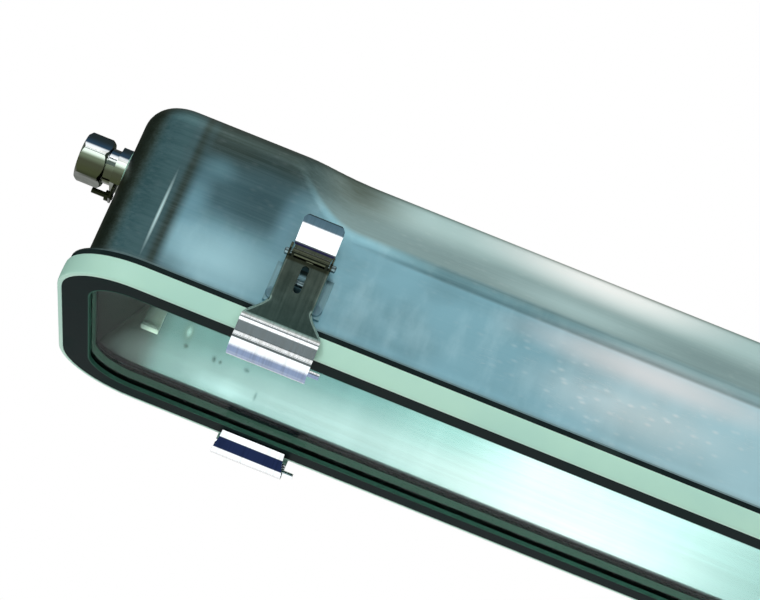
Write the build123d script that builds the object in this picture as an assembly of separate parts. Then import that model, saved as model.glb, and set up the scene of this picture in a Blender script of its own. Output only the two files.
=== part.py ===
from build123d import *
import os
from math import cos, radians, sin, tan

os.makedirs("parts", exist_ok=True)

# Vapor tight ceiling light that hangs by the flat top of its drawn steel housing.
# X runs along the light with the cable gland at the -X end, and +Z is up.
# The origin is the centre of the top face. All lengths are millimetres.

# Whole light
overall_length = 1270.0
frame_width = 190.0
overall_height = 113.5
frame_corner = 45.0
cut_overrun = 5.0
bolted_gap = 0.02
running_gap = 0.06
sliding_gap = 0.3

# Drawn housing
wall_inset = 10.0
wall_thickness = 1.0
wall_corner = 25.0
top_corner = 15.0
rim_inset = 1.5
shoulder_drop = 39.0
shoulder_angle = 22.8
shoulder_end = 132.0
shoulder_sweep_radius = 77.0
shoulder_sweep_angle = 46.0
shoulder_depth_outside = 30.0

# Door: pale frame, black retainer, foam seal and clear lens
frame_height = 12.5
frame_wall = 3.0
frame_lip_width = 19.0
frame_lip_thickness = 2.0
frame_edge_radius = 1.2
seat_gasket_thickness = 3.0
door_gap = 0.05
retainer_ledge = 2.3
retainer_recess = 0.2
lens_thickness = 4.0
lens_inset = 8.0

# Draw latches: lever pin above, hook foot below. Outward means away from the side of the door frame.
latch_from_wall_end = 113.0
latches_per_side = 3
lever_throw = 14.0
lever_lean = 12.0
link_height = 50.0
link_radius = 2.0
link_overhang = 2.2
sheet = 1.2
hook_top_width = 24.6
hook_foot_width = 44.0
flare_top_height = 23.0
flare_foot_height = 6.0
flare_radius = 9.0
web_offset = 4.6
web_top_drop = 3.9
web_foot_offset = 1.9
web_foot_height = 17.0
bulge_offset = 3.4
bulge_height = 5.5
crease_offset = 1.8
crease_depth = 3.2
foot_depth = 12.5
foot_return = 8.5
lip_reach = 13.0
lip_gap = 0.45
lip_edge_drop = 0.3
web_bend = 12.0
bulge_bend = 2.5
crease_bend = 2.0
foot_bend = 6.0
lip_bend = 4.0
ear_radius = 4.9
ear_depth = 6.5
slot_width = 4.0
slot_length = 15.7
slot_top_drop = 6.0
pin_chamfer = 0.5
foot_rod_radius = 1.8
foot_rod_overhang = 6.0
foot_rod_angle = 45.0
upright = 90.0

# Lever of the latch
knuckle_radius = 3.4
lever_width = 21.0
tab_width = 23.0
neck_height = 8.0
neck_shoulder_height = 6.0
tab_offset = 1.8
tab_height = 18.0
tip_offset = 6.2
tip_height = 21.5
tab_bend = 3.0
tip_bend = 2.0
tab_corner = 3.0
cheek_thickness = 1.5
cheek_inner = 8.8
pivot_eye_radius = 4.2

# Bracket that carries the lever, on the housing wall
bracket_thickness = 1.5
bracket_width = 32.0
bracket_above = 10.0
bracket_below = 13.0
bracket_ear_gap = 0.4
bracket_eye_radius = 3.9
bracket_ear_root = 7.8
pivot_radius = 2.0
pivot_half_length = 10.6
rivet_radius = 2.0
rivet_head_radius = 3.6
rivet_head_height = 1.3
rivet_crown_radius = 0.98
rivet_tail = 1.2
rivet_spread = 12.3

# Gear tray that is also the reflector
tray_side_gap = 2.0
tray_sheet = 0.8
tray_rim_height = 18.5
tray_top_height = 48.5
tray_slope_run = 28.0
tray_corner = 22.0
tray_top_corner = 8.0

# Straps that hang the tray
strap_from_wall_end = 40.0
strap_width = 10.0
strap_thickness = 1.6
strap_foot = 6.0
strap_tab_height = 12.5
strap_step = 6.0
strap_flange = 16.0
strap_slot_gap = 1.0

# Light source boards
board_to_strap = 10.0
board_width = 18.0
board_thickness = 1.6
board_spread = 9.6
board_end_gap = 20.0

# Driver and wiring above the tray
driver_length = 300.0
driver_width = 42.0
driver_height = 30.0
driver_foot_length = 14.0
driver_foot_thickness = 2.0
driver_corner = 3.0
driver_screw_radius = 2.0
driver_screw_head_radius = 3.6
driver_screw_head_height = 2.4
terminal_length = 48.0
terminal_width = 20.0
terminal_height = 17.0
supply_lead_run = 60.0
terminal_ways = 3
terminal_pitch = 14.0
terminal_mouth = 5.0
lead_radius = 1.3
lead_spread = 5.0
lead_height = 6.0
grommet_radius = 7.0
grommet_bore = 4.2
grommet_flange = 1.2
grommet_groove = 1.5
grommet_middle = 0.0
board_lead_run = 30.0
board_lead_bend = 6.0
board_lead_lap = 8.0
board_lead_spread = 1.4
driver_outlet_height = 12.0

# Ground stud and hidden ceiling nuts
ground_stud_radius = 2.5
ground_stud_length = 16.0
ground_nut_flat = 8.0
ground_nut_height = 4.0
ground_from_wall_end = 205.0
hanger_spacing = 900.0
hanger_nut_flat = 17.0
hanger_nut_height = 14.0
hanger_bore_radius = 4.25
hanger_cap = 3.0

# Cable gland
gland_from_wall = 43.0
gland_drop = 36.0
gland_thread_radius = 8.0
gland_hole_radius = 8.2
gland_bore_radius = 5.0
gland_washer_radius = 13.0
gland_washer_thickness = 1.6
gland_hex_flat = 22.0
gland_hex_length = 6.0
gland_barrel_radius = 10.0
gland_barrel_length = 12.0
gland_nose_radius = 8.4
gland_inside_length = 9.0
cap_flat = 25.0
cap_length = 15.0
cap_overlap = 7.0
cap_round = 1.6
cap_mouth_radius = 6.6
cap_front = 3.0
seal_radius = 7.9
seal_bore_radius = 4.5
locknut_flat = 22.0
locknut_height = 4.0
bonding_screw_radius = 1.6
bonding_screw_length = 10.0
bonding_head_radius = 3.0
bonding_head_height = 2.2
bonding_lug_thickness = 1.4
bonding_lug_width = 7.0
bonding_lug_reach = 8.0
bonding_screw_edge = 2.4
hex_turn = 30.0

near_side = -1
far_side = 1
both_sides = (near_side, far_side)
side_names = {near_side: "near", far_side: "far"}

# Places worked out from the sizes above
door_bottom = -overall_height
frame_top = door_bottom + frame_height
rim_underside = frame_top + seat_gasket_thickness
pan_length = overall_length - 2 * wall_inset
pan_width = frame_width - 2 * wall_inset
half_pan = pan_length / 2
half_frame = frame_width / 2
gland_side = pan_width / 2 - gland_from_wall
lens_bottom = door_bottom + retainer_recess + retainer_ledge + door_gap
lens_top = lens_bottom + lens_thickness
tray_top = door_bottom + tray_top_height
tray_under = tray_top - tray_sheet
strap_place = half_pan - strap_from_wall_end
board_length = strap_place - (strap_width + board_end_gap) / 2 - board_to_strap
driver_middle = grommet_middle - board_lead_run - driver_length / 2
terminal_middle = driver_middle - (driver_length + terminal_length) / 2 - supply_lead_run
ground_x = ground_from_wall_end - half_pan
pivot_offset = -lever_throw * sin(radians(lever_lean))
pivot_height = link_height - lever_throw * cos(radians(lever_lean))
first_latch = half_pan - latch_from_wall_end
latch_spacing = 2 * first_latch / (latches_per_side - 1)
latch_places = [latch_spacing * step - first_latch for step in range(latches_per_side)]


def above_door(height):
    """Z of a height that is counted up from the underside of the door frame."""
    return door_bottom + height


def rounded_slab(length, width, corner, bottom, top):
    outline = RectangleRounded(length, width, corner)
    return Pos(0, 0, bottom) * extrude(outline, top - bottom)


def door_slab(inset, bottom, top):
    """Slab with the outline of the door frame, moved inwards."""
    return rounded_slab(
        overall_length - 2 * inset, frame_width - 2 * inset, frame_corner - inset, bottom, top
    )


def door_ring(outer_inset, inner_inset, bottom, top):
    hole = door_slab(inner_inset, bottom - cut_overrun, top + cut_overrun)
    return door_slab(outer_inset, bottom, top) - hole


def x_rod(radius, start, end, y, z):
    """Round bar along X."""
    return Plane(origin=(start, y, z), z_dir=(1, 0, 0)) * extrude(Circle(radius), end - start)


def z_rod(radius, bottom, top, x, y):
    """Round bar along Z."""
    return Pos(x, y, bottom) * extrude(Circle(radius), top - bottom)


def y_rod(radius, x, start, end, z):
    """Round bar along Y."""
    low, high = min(start, end), max(start, end)
    return Plane(origin=(x, low, z), z_dir=(0, 1, 0)) * extrude(Circle(radius), high - low)


def hex_bar(flat, start, end, y, z):
    """Six sided bar along X."""
    outline = RegularPolygon(flat / 2, 6, major_radius=False, rotation=hex_turn)
    return Plane(origin=(start, y, z), z_dir=(1, 0, 0)) * extrude(outline, end - start)


def side_profile(points, x_low, x_high, side):
    """Solid with a straight sided outline of (outward, height) points, between two X places."""
    places = [(side * (half_frame + out), above_door(height)) for out, height in points]
    face = make_face(Polyline(*places, close=True))
    return Pos(x_low, 0, 0) * extrude(Plane.YZ * face, x_high - x_low)


def bent_sheet(points, bends, thickness, x_low, x_high, side):
    """Bent sheet whose middle line runs through (outward, height) points."""
    places = [(side * (half_frame + out), above_door(height)) for out, height in points]
    line = FilletPolyline(*places, radius=bends)
    face = trace(line, thickness)
    return Pos(x_low, 0, 0) * extrude(Plane.YZ * face, x_high - x_low)


def front_prism(points, x, side):
    """Prism across the latch, from (along, height) points of its front view."""
    places = [(x + along, above_door(height)) for along, height in points]
    face = make_face(Polyline(*places, close=True))
    reach = frame_width
    return extrude(Plane.XZ * face, reach, both=True)


def save(node, solids):
    """Write one node. A node of several pieces keeps them as separate solids."""
    pieces = solids if isinstance(solids, list) else [solids]
    bodies = [body for piece in pieces for body in piece.solids()]
    shape = bodies[0] if len(bodies) == 1 else Compound(children=bodies)
    export_step(shape, f"parts/{node}.step")


def shoulder_cutters(side, inset):
    """What the sloped shoulder leaves out of a straight sided pan, with ends that sweep out of the wall."""
    slope = radians(shoulder_angle)
    wall = side * (pan_width / 2 - inset)
    crease = -shoulder_drop - inset * tan(slope / 2)
    rise = cut_overrun - crease
    outside = side * (pan_width / 2 + shoulder_depth_outside)
    points = [
        (wall, crease),
        (wall - side * rise * tan(slope), cut_overrun),
        (outside, cut_overrun),
        (outside, crease),
    ]
    face = make_face(Polyline(*points, close=True))
    straight = half_pan - shoulder_end
    cutters = [Pos(-straight, 0, 0) * extrude(Plane.YZ * face, 2 * straight)]
    for end in (-1, 1):
        turn_centre = (end * straight, side * (pan_width / 2 + shoulder_sweep_radius), 0)
        turn_axis = Axis(turn_centre, (0, 0, end * side))
        section = Pos(end * straight, 0, 0) * (Plane.YZ * face)
        cutters.append(revolve(section, turn_axis, shoulder_sweep_angle))
    return cutters


def pan_block(inset, bottom):
    """Solid block with the outline of the drawn pan, moved inwards."""
    block = rounded_slab(
        pan_length - 2 * inset, pan_width - 2 * inset, wall_corner - inset, bottom, -inset
    )
    block = fillet(block.edges().group_by(Axis.Z)[-1], top_corner - inset)
    for side in both_sides:
        for cutter in shoulder_cutters(side, inset):
            block -= cutter
    return block


def make_housing():
    shell = pan_block(0, rim_underside)
    shell += door_slab(rim_inset, rim_underside, rim_underside + wall_thickness)
    shell -= pan_block(wall_thickness, rim_underside - cut_overrun)
    shell -= gland_bar(gland_hole_radius, -cut_overrun, cut_overrun)
    for x in latch_places:
        for side in both_sides:
            for rivet_x in (x - rivet_spread, x + rivet_spread):
                shell -= rivet_hole(rivet_x, side)
    for x in (-hanger_spacing / 2, hanger_spacing / 2):
        shell -= z_rod(hanger_bore_radius, -wall_thickness - cut_overrun, cut_overrun, x, 0)
    return shell


def rivet_place(side):
    return above_door(pivot_height - bracket_below + rivet_head_radius + sheet)


def rivet_hole(x, side):
    wall = side * pan_width / 2
    radius = rivet_radius + bolted_gap
    return y_rod(radius, x, wall - side * cut_overrun, wall + side * cut_overrun, rivet_place(side))


def make_seat_gasket():
    ring = door_slab(rim_inset, frame_top, rim_underside)
    hole = rounded_slab(
        pan_length - 2 * wall_thickness,
        pan_width - 2 * wall_thickness,
        wall_corner - wall_thickness,
        frame_top - cut_overrun,
        rim_underside + cut_overrun,
    )
    return ring - hole


def make_lens_frame():
    wall = door_ring(0, frame_wall, door_bottom, frame_top)
    lip = door_ring(frame_wall, frame_lip_width, frame_top - frame_lip_thickness, frame_top)
    frame = wall + lip
    outer_edges = frame.edges().filter_by(
        lambda edge: edge.bounding_box().size.Z < door_gap
    ).filter_by(lambda edge: is_on_outer_outline(edge))
    return fillet(outer_edges, frame_edge_radius)


def is_on_outer_outline(edge):
    """True for the edges of the outer face of the door frame."""
    box = edge.bounding_box()
    reach_x = max(abs(box.min.X), abs(box.max.X))
    reach_y = max(abs(box.min.Y), abs(box.max.Y))
    on_side = reach_y > half_frame - door_gap
    on_end = reach_x > overall_length / 2 - door_gap
    return on_side or on_end


def make_lens_retainer():
    under = door_bottom + retainer_recess
    lip_under = frame_top - frame_lip_thickness - door_gap
    ledge = door_ring(frame_wall + door_gap, frame_lip_width, under, under + retainer_ledge)
    rim = door_ring(
        frame_wall + door_gap, lens_inset - door_gap, under + retainer_ledge, lip_under
    )
    return ledge + rim


def make_lens():
    return door_slab(lens_inset, lens_bottom, lens_top)


def make_lens_seal():
    top = frame_top - frame_lip_thickness - door_gap
    return door_ring(lens_inset, frame_lip_width, lens_top + door_gap, top)


def latch_pivot(side):
    return (side * (half_frame + pivot_offset), above_door(pivot_height))


def latch_link(side):
    return (side * half_frame, above_door(link_height))


def make_latch_bracket(x, side):
    """Plate on the housing wall with two ears that hold the pivot pin of the lever."""
    wall_out = -wall_inset
    face_out = wall_out + bracket_thickness
    plate = side_profile(
        [
            (wall_out, pivot_height - bracket_below),
            (face_out, pivot_height - bracket_below),
            (face_out, pivot_height + bracket_above),
            (wall_out, pivot_height + bracket_above),
        ],
        x - bracket_width / 2,
        x + bracket_width / 2,
        side,
    )
    eye_y, eye_z = latch_pivot(side)
    ear_outer = cheek_inner - bracket_ear_gap
    bracket = plate
    for low in (x - ear_outer, x + ear_outer - bracket_thickness):
        ear = side_profile(
            [
                (face_out, pivot_height - bracket_ear_root),
                (pivot_offset, pivot_height - bracket_eye_radius),
                (pivot_offset, pivot_height + bracket_eye_radius),
                (face_out, pivot_height + bracket_ear_root),
            ],
            low,
            low + bracket_thickness,
            side,
        )
        ear += x_rod(bracket_eye_radius, low, low + bracket_thickness, eye_y, eye_z)
        bracket += ear
    bore = pivot_radius + bolted_gap
    bracket -= x_rod(bore, x - bracket_width, x + bracket_width, eye_y, eye_z)
    for rivet_x in (x - rivet_spread, x + rivet_spread):
        bracket -= rivet_hole(rivet_x, side)
    return bracket


def make_pivot_pin(x, side):
    eye_y, eye_z = latch_pivot(side)
    return x_rod(pivot_radius, x - pivot_half_length, x + pivot_half_length, eye_y, eye_z)


def make_rivet(x, side):
    """Rivet through bracket and wall, with a head outside and a closed tail inside."""
    z = rivet_place(side)
    outside = side * (pan_width / 2 + bracket_thickness)
    inside = side * (pan_width / 2 - wall_thickness)
    shank = y_rod(rivet_radius, x, inside - side * rivet_tail, outside, z)
    head = y_rod(rivet_head_radius, x, outside, outside + side * rivet_head_height, z)
    tail = y_rod(rivet_head_radius, x, inside - side * rivet_tail, inside, z)
    rivet = shank + head + tail
    rims = head.edges().sort_by(Axis.Y)
    rim = rims[-1] if side == far_side else rims[0]
    far_edges = rivet.edges().filter_by(
        lambda edge: abs(edge.center().Y - rim.center().Y) < bolted_gap
    )
    return fillet(far_edges, rivet_crown_radius)


def make_lever(x, side):
    """Lever that swings out and down: pivot cheeks, knuckle round the link pin, neck and finger tab."""
    link_y, link_z = latch_link(side)
    eye_y, eye_z = latch_pivot(side)
    half = lever_width / 2
    neck_out = -knuckle_radius + sheet / 2
    tab = bent_sheet(
        [
            (neck_out, link_height),
            (neck_out, link_height + neck_height),
            (tab_offset, link_height + tab_height),
            (tip_offset, link_height + tip_height),
        ],
        (tab_bend, tip_bend),
        sheet,
        x - tab_width / 2,
        x + tab_width / 2,
        side,
    )
    shoulder = link_height + neck_shoulder_height
    top = link_height + tip_height + sheet
    outline = front_prism(
        [
            (-half, link_height - knuckle_radius),
            (half, link_height - knuckle_radius),
            (half, shoulder),
            (tab_width / 2, shoulder + sheet),
            (tab_width / 2, top - tab_corner),
            (tab_width / 2 - tab_corner, top),
            (tab_corner - tab_width / 2, top),
            (-tab_width / 2, top - tab_corner),
            (-tab_width / 2, shoulder + sheet),
            (-half, shoulder),
        ],
        x,
        side,
    )
    lever = tab & outline
    lever += x_rod(knuckle_radius, x - half, x + half, link_y, link_z)
    for low in (x - cheek_inner - cheek_thickness, x + cheek_inner):
        lever += make_cheek(low, side)
    low, high = x - hook_foot_width, x + hook_foot_width
    lever -= x_rod(link_radius + running_gap, low, high, link_y, link_z)
    lever -= x_rod(pivot_radius + running_gap, low, high, eye_y, eye_z)
    return lever


def make_cheek(low, side):
    link_y, link_z = latch_link(side)
    eye_y, eye_z = latch_pivot(side)
    high = low + cheek_thickness
    cheek = x_rod(pivot_eye_radius, low, high, eye_y, eye_z)
    cheek += x_rod(knuckle_radius, low, high, link_y, link_z)
    cheek += side_profile(
        [
            (pivot_offset - pivot_eye_radius, pivot_height),
            (pivot_offset + pivot_eye_radius, pivot_height),
            (knuckle_radius, link_height),
            (-knuckle_radius, link_height),
        ],
        low,
        high,
        side,
    )
    return cheek


def make_link_pin(x, side):
    link_y, link_z = latch_link(side)
    reach = hook_top_width / 2 + link_overhang
    pin = x_rod(link_radius, x - reach, x + reach, link_y, link_z)
    return chamfer(pin.edges(), pin_chamfer)


def hook_middle_line():
    """Bends of the hook plate from its top edge, over the door frame, to the lip under it."""
    return [
        (web_offset, link_height - web_top_drop),
        (web_foot_offset, web_foot_height),
        (bulge_offset, bulge_height),
        (crease_offset, -crease_depth),
        (bulge_offset, -foot_depth),
        (-foot_return, -foot_depth),
        (-lip_reach, -lip_gap - lip_edge_drop),
    ]


def make_hook_plate(x, side):
    """Plate that pulls the door up: ears for the link pin, slotted web, flared foot and turned-in lip."""
    link_y, link_z = latch_link(side)
    half_top = hook_top_width / 2
    half_foot = hook_foot_width / 2
    bends = (web_bend, bulge_bend, crease_bend, foot_bend, lip_bend)
    plate = bent_sheet(hook_middle_line(), bends, sheet, x - half_foot, x + half_foot, side)
    plate = plate & hook_outline(x)
    slot_middle = link_height - slot_top_drop - slot_length / 2
    slot = SlotOverall(slot_length, slot_width, rotation=upright)
    place = Plane(origin=(x, 0, above_door(slot_middle)), x_dir=(1, 0, 0), z_dir=(0, side, 0))
    plate -= place * extrude(slot, frame_width)
    for low in (x - half_top, x + half_top - sheet):
        plate += make_hook_flange(low, side)
    plate -= x_rod(link_radius + bolted_gap, x - half_foot, x + half_foot, link_y, link_z)
    return plate


def hook_outline(x):
    """Front view of the hook plate: narrow web, then a flare with round shoulders to the wide foot."""
    half_top = hook_top_width / 2
    half_foot = hook_foot_width / 2
    top = link_height
    bottom = -foot_depth - foot_bend
    right = [
        (half_top, top),
        (half_top, flare_top_height),
        (half_foot, flare_foot_height),
        (half_foot, bottom),
    ]
    left = [(-along, height) for along, height in reversed(right)]
    places = [(x + along, above_door(height)) for along, height in right + left]
    line = FilletPolyline(
        *places,
        radius=(0, flare_radius, sheet, 0, 0, sheet, flare_radius, 0),
        close=True,
    )
    return extrude(Plane.XZ * make_face(line), frame_width, both=True)


def make_hook_flange(low, side):
    """Side wall of the web, with the round ear that holds the link pin."""
    link_y, link_z = latch_link(side)
    web_face = web_offset - sheet / 2
    foot_face = web_foot_offset - sheet / 2
    run = link_height - web_top_drop - web_foot_height
    end_share = (flare_top_height - web_foot_height) / run
    end_face = foot_face + (web_face - foot_face) * end_share
    flange = side_profile(
        [
            (web_face, link_height),
            (end_face, flare_top_height),
            (end_face - sheet, flare_top_height),
            (end_face - ear_depth, flare_top_height + ear_depth),
            (web_face - ear_depth, link_height),
        ],
        low,
        low + sheet,
        side,
    )
    return flange + x_rod(ear_radius, low, low + sheet, link_y, link_z)


def make_foot_rod(x, side):
    """Round rod in the rolled foot, with one end standing out."""
    inner = foot_bend - sheet / 2
    reach = inner - foot_rod_radius - bolted_gap
    turn = radians(foot_rod_angle)
    rod_out = bulge_offset - foot_bend + reach * cos(turn)
    rod_height = -foot_depth + foot_bend - reach * sin(turn)
    half_foot = hook_foot_width / 2
    rod = x_rod(
        foot_rod_radius,
        x - half_foot,
        x + half_foot + foot_rod_overhang,
        side * (half_frame + rod_out),
        above_door(rod_height),
    )
    return rod


def tray_block(inset):
    """Solid with sloped sides, as long and wide as the tray, moved inwards."""
    rim = door_bottom + tray_rim_height
    length = pan_length - 2 * (wall_thickness + tray_side_gap + inset)
    width = pan_width - 2 * (wall_thickness + tray_side_gap + inset)
    low = Pos(0, 0, rim) * RectangleRounded(length, width, tray_corner - inset)
    high = Pos(0, 0, tray_top - inset) * RectangleRounded(
        length - 2 * tray_slope_run, width - 2 * tray_slope_run, tray_top_corner - inset
    )
    return loft([low, high])


def level_slab(low, high):
    """Slab between two heights that is as long and wide as the whole light."""
    return Pos(0, 0, (low + high) / 2) * Box(overall_length, frame_width, high - low)


def make_tray():
    """Flat plate that carries the gear, on top of the sloped sides."""
    tray = (tray_block(0) - tray_block(tray_sheet)) & level_slab(tray_under, tray_top + cut_overrun)
    for end in (-1, 1):
        gap = strap_slot_gap
        slot = Box(strap_width + 2 * gap, strap_thickness + 2 * gap, 2 * cut_overrun)
        tray -= Pos(end * strap_place, 0, tray_top) * slot
    neck = grommet_radius - grommet_groove
    tray -= z_rod(neck, tray_under - cut_overrun, tray_top + cut_overrun, grommet_middle, 0)
    return tray


def make_reflector():
    """Ring of sloped sides that is fixed under the edge of the gear plate."""
    ring = tray_block(0) - tray_block(tray_sheet)
    return ring & level_slab(door_bottom, tray_under - bolted_gap)


def make_strap(end):
    """Strap from the top of the housing, through the tray, with the step that carries it."""
    x = end * strap_place
    roof = -wall_thickness
    tab_bottom = above_door(strap_tab_height)
    strap = Pos(x, 0, (roof + tab_bottom) / 2) * Box(strap_width, strap_thickness, roof - tab_bottom)
    flange_middle = (strap_flange + strap_thickness) / 2 - strap_thickness
    strap += Pos(x, flange_middle, roof - strap_thickness / 2) * Box(
        strap_width, strap_flange, strap_thickness
    )
    step_low = tray_under - bolted_gap - strap_thickness
    strap += Pos(x, strap_step / 2, step_low + strap_thickness / 2) * Box(
        strap_width, strap_step + strap_thickness, strap_thickness
    )
    strap += Pos(x, -strap_foot / 2, tab_bottom + strap_thickness / 2) * Box(
        strap_width, strap_foot + strap_thickness, strap_thickness
    )
    return strap


def make_board(x, y):
    top = tray_under
    return Pos(x, y, top - board_thickness / 2) * Box(board_length, board_width, board_thickness)


def make_driver():
    body = Pos(driver_middle, 0, tray_top + driver_height / 2) * Box(
        driver_length, driver_width, driver_height
    )
    body = fillet(body.edges().filter_by(Axis.X), driver_corner)
    for end in (-1, 1):
        x = driver_middle + end * (driver_length + driver_foot_length) / 2
        foot = Pos(x, 0, tray_top + driver_foot_thickness / 2) * Box(
            driver_foot_length, driver_width, driver_foot_thickness
        )
        foot -= z_rod(
            driver_screw_radius + bolted_gap, tray_top - cut_overrun, tray_top + cut_overrun, x, 0
        )
        body += foot
    return body


def make_driver_screw(end):
    x = driver_middle + end * (driver_length + driver_foot_length) / 2
    head_seat = tray_top + driver_foot_thickness
    shank = z_rod(driver_screw_radius, tray_top, head_seat, x, 0)
    head = z_rod(driver_screw_head_radius, head_seat, head_seat + driver_screw_head_height, x, 0)
    return shank + head


def make_terminal_block():
    block = Pos(terminal_middle, 0, tray_top + terminal_height / 2) * Box(
        terminal_length, terminal_width, terminal_height
    )
    floor = tray_top + terminal_height / 2
    for way in range(terminal_ways):
        x = terminal_middle + (way - (terminal_ways - 1) / 2) * terminal_pitch
        block -= z_rod(terminal_mouth / 2, floor, floor + terminal_height, x, 0)
    return block


def make_supply_leads():
    """Straight leads along the tray from the terminal block to the driver."""
    start = terminal_middle + terminal_length / 2
    end = driver_middle - driver_length / 2
    z = tray_top + lead_height
    leads = []
    for step in (-1, 0, 1):
        leads.append(x_rod(lead_radius, start, end, step * lead_spread, z))
    return leads


def make_board_leads():
    """Pair of leads from the driver, down through the grommet to the light source boards."""
    start = driver_middle + driver_length / 2
    end = grommet_middle + board_end_gap / 2 + board_lead_lap
    top_z = tray_top + driver_outlet_height
    low_z = tray_under - board_thickness - lead_radius - bolted_gap
    leads = []
    for step in (-1, 1):
        y = step * board_lead_spread
        route = FilletPolyline(
            (start, y, top_z),
            (grommet_middle, y, top_z),
            (grommet_middle, y, low_z),
            (end, y, low_z),
            radius=board_lead_bend,
        )
        section = Plane(origin=(start, y, top_z), z_dir=(1, 0, 0)) * Circle(lead_radius)
        leads.append(sweep(section, route))
    return leads


def make_grommet():
    low = tray_under - grommet_flange
    high = tray_top + grommet_flange
    ring = z_rod(grommet_radius, low, high, grommet_middle, 0)
    neck = grommet_radius - grommet_groove
    groove = z_rod(grommet_radius + cut_overrun, tray_under, tray_top, grommet_middle, 0)
    groove -= z_rod(neck, tray_under - cut_overrun, tray_top + cut_overrun, grommet_middle, 0)
    ring -= groove
    return ring - z_rod(grommet_bore, low - cut_overrun, high + cut_overrun, grommet_middle, 0)


def make_ground_stud():
    roof = -wall_thickness
    return z_rod(ground_stud_radius, roof - ground_stud_length, roof, ground_x, 0)


def make_ground_nut():
    outline = RegularPolygon(ground_nut_flat / 2, 6, major_radius=False)
    low = -wall_thickness - ground_stud_length / 2
    nut = Pos(ground_x, 0, low) * extrude(outline, ground_nut_height)
    bore = ground_stud_radius + bolted_gap
    return nut - z_rod(bore, low - ground_nut_height, low + 2 * ground_nut_height, ground_x, 0)


def make_hanger_nut(x):
    """Blind nut welded under the top, closed below so that the housing stays tight."""
    outline = RegularPolygon(hanger_nut_flat / 2, 6, major_radius=False)
    roof = -wall_thickness
    nut = Pos(x, 0, roof - hanger_nut_height) * extrude(outline, hanger_nut_height)
    depth = roof - hanger_nut_height + hanger_cap
    return nut - z_rod(hanger_bore_radius, depth, roof + cut_overrun, x, 0)


def gland_axis():
    """Place across (Y) and height (Z) of the gland axis."""
    return (-gland_side, -gland_drop)


def gland_bar(radius, start, end):
    """Round bar on the gland axis. Places are counted outwards from the end wall."""
    return x_rod(radius, -half_pan - end, -half_pan - start, *gland_axis())


def gland_hex(flat, start, end):
    return hex_bar(flat, -half_pan - end, -half_pan - start, *gland_axis())


def make_gland_washer():
    ring = gland_bar(gland_washer_radius, 0, gland_washer_thickness)
    end = gland_washer_thickness + cut_overrun
    return ring - gland_bar(gland_thread_radius + bolted_gap, -cut_overrun, end)


def gland_nose():
    return gland_washer_thickness + gland_hex_length + gland_barrel_length


def make_gland_body():
    hex_end = gland_washer_thickness + gland_hex_length
    body = gland_hex(gland_hex_flat, gland_washer_thickness, hex_end)
    nose = gland_nose()
    body += gland_bar(gland_barrel_radius, hex_end, nose - cap_overlap)
    body += gland_bar(gland_nose_radius, nose - cap_overlap, nose)
    body += gland_bar(gland_thread_radius, -gland_inside_length, gland_washer_thickness)
    return body - gland_bar(gland_bore_radius, -gland_inside_length - cut_overrun, nose + cut_overrun)


def make_gland_cap():
    """Faceted cap nut that turns on the gland barrel and closes on the seal."""
    start = gland_nose() - cap_overlap + sliding_gap
    end = start + cap_length
    cap = gland_hex(cap_flat, start, end)
    dome = gland_bar(cap_flat / 2 + cap_round, start, end)
    dome = chamfer(dome.edges(), cap_round)
    cap = cap & dome
    bore = gland_nose_radius + running_gap
    cap -= gland_bar(bore, start - cut_overrun, end - cap_front)
    return cap - gland_bar(cap_mouth_radius, start, end + cut_overrun)


def make_gland_seal():
    start = gland_nose() + bolted_gap
    end = gland_nose() - cap_overlap + sliding_gap + cap_length - cap_front - sliding_gap
    ring = gland_bar(seal_radius, start, end)
    return ring - gland_bar(seal_bore_radius, start - cut_overrun, end + cut_overrun)


def make_gland_locknut():
    start = -wall_thickness - locknut_height
    nut = gland_hex(locknut_flat, start, -wall_thickness)
    return nut - gland_bar(gland_thread_radius + bolted_gap, start - cut_overrun, cut_overrun)


def make_bonding_lug():
    """Small plate under the gland hex that carries the bonding screw."""
    y, z = gland_axis()
    low = z - gland_hex_flat / 2
    x = -half_pan - gland_washer_thickness - gland_hex_length / 2
    lug = Pos(x, y, low - bonding_lug_reach / 2) * Box(
        bonding_lug_thickness, bonding_lug_width, bonding_lug_reach
    )
    screw_z = low - bonding_lug_reach + bonding_screw_edge
    hole = x_rod(bonding_screw_radius + bolted_gap, x - cut_overrun, x + cut_overrun, y, screw_z)
    return lug - hole


def make_bonding_screw():
    y, z = gland_axis()
    low = z - gland_hex_flat / 2
    x = -half_pan - gland_washer_thickness - gland_hex_length / 2
    screw_z = low - bonding_lug_reach + bonding_screw_edge
    face = x - bonding_lug_thickness / 2
    end = x + bonding_lug_thickness
    shank = x_rod(bonding_screw_radius, face - bonding_screw_length, end, y, screw_z)
    head = x_rod(bonding_head_radius, face - bonding_head_height, face, y, screw_z)
    return shank + head


def save_latches():
    for side in both_sides:
        for number, x in enumerate(latch_places, start=1):
            name = f"{side_names[side]}_latch_{number}"
            save(f"{name}_lever", make_lever(x, side))
            save(f"{name}_hook_plate", [make_hook_plate(x, side), make_foot_rod(x, side)])
            save(f"{name}_link_pin", make_link_pin(x, side))
    places = [(x, side) for side in both_sides for x in latch_places]
    save("latch_brackets", [make_latch_bracket(x, side) for x, side in places])
    save("latch_pivot_pins", [make_pivot_pin(x, side) for x, side in places])
    rivets = []
    for x, side in places:
        rivets.append(make_rivet(x - rivet_spread, side))
        rivets.append(make_rivet(x + rivet_spread, side))
    save("latch_rivets", rivets)


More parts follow.
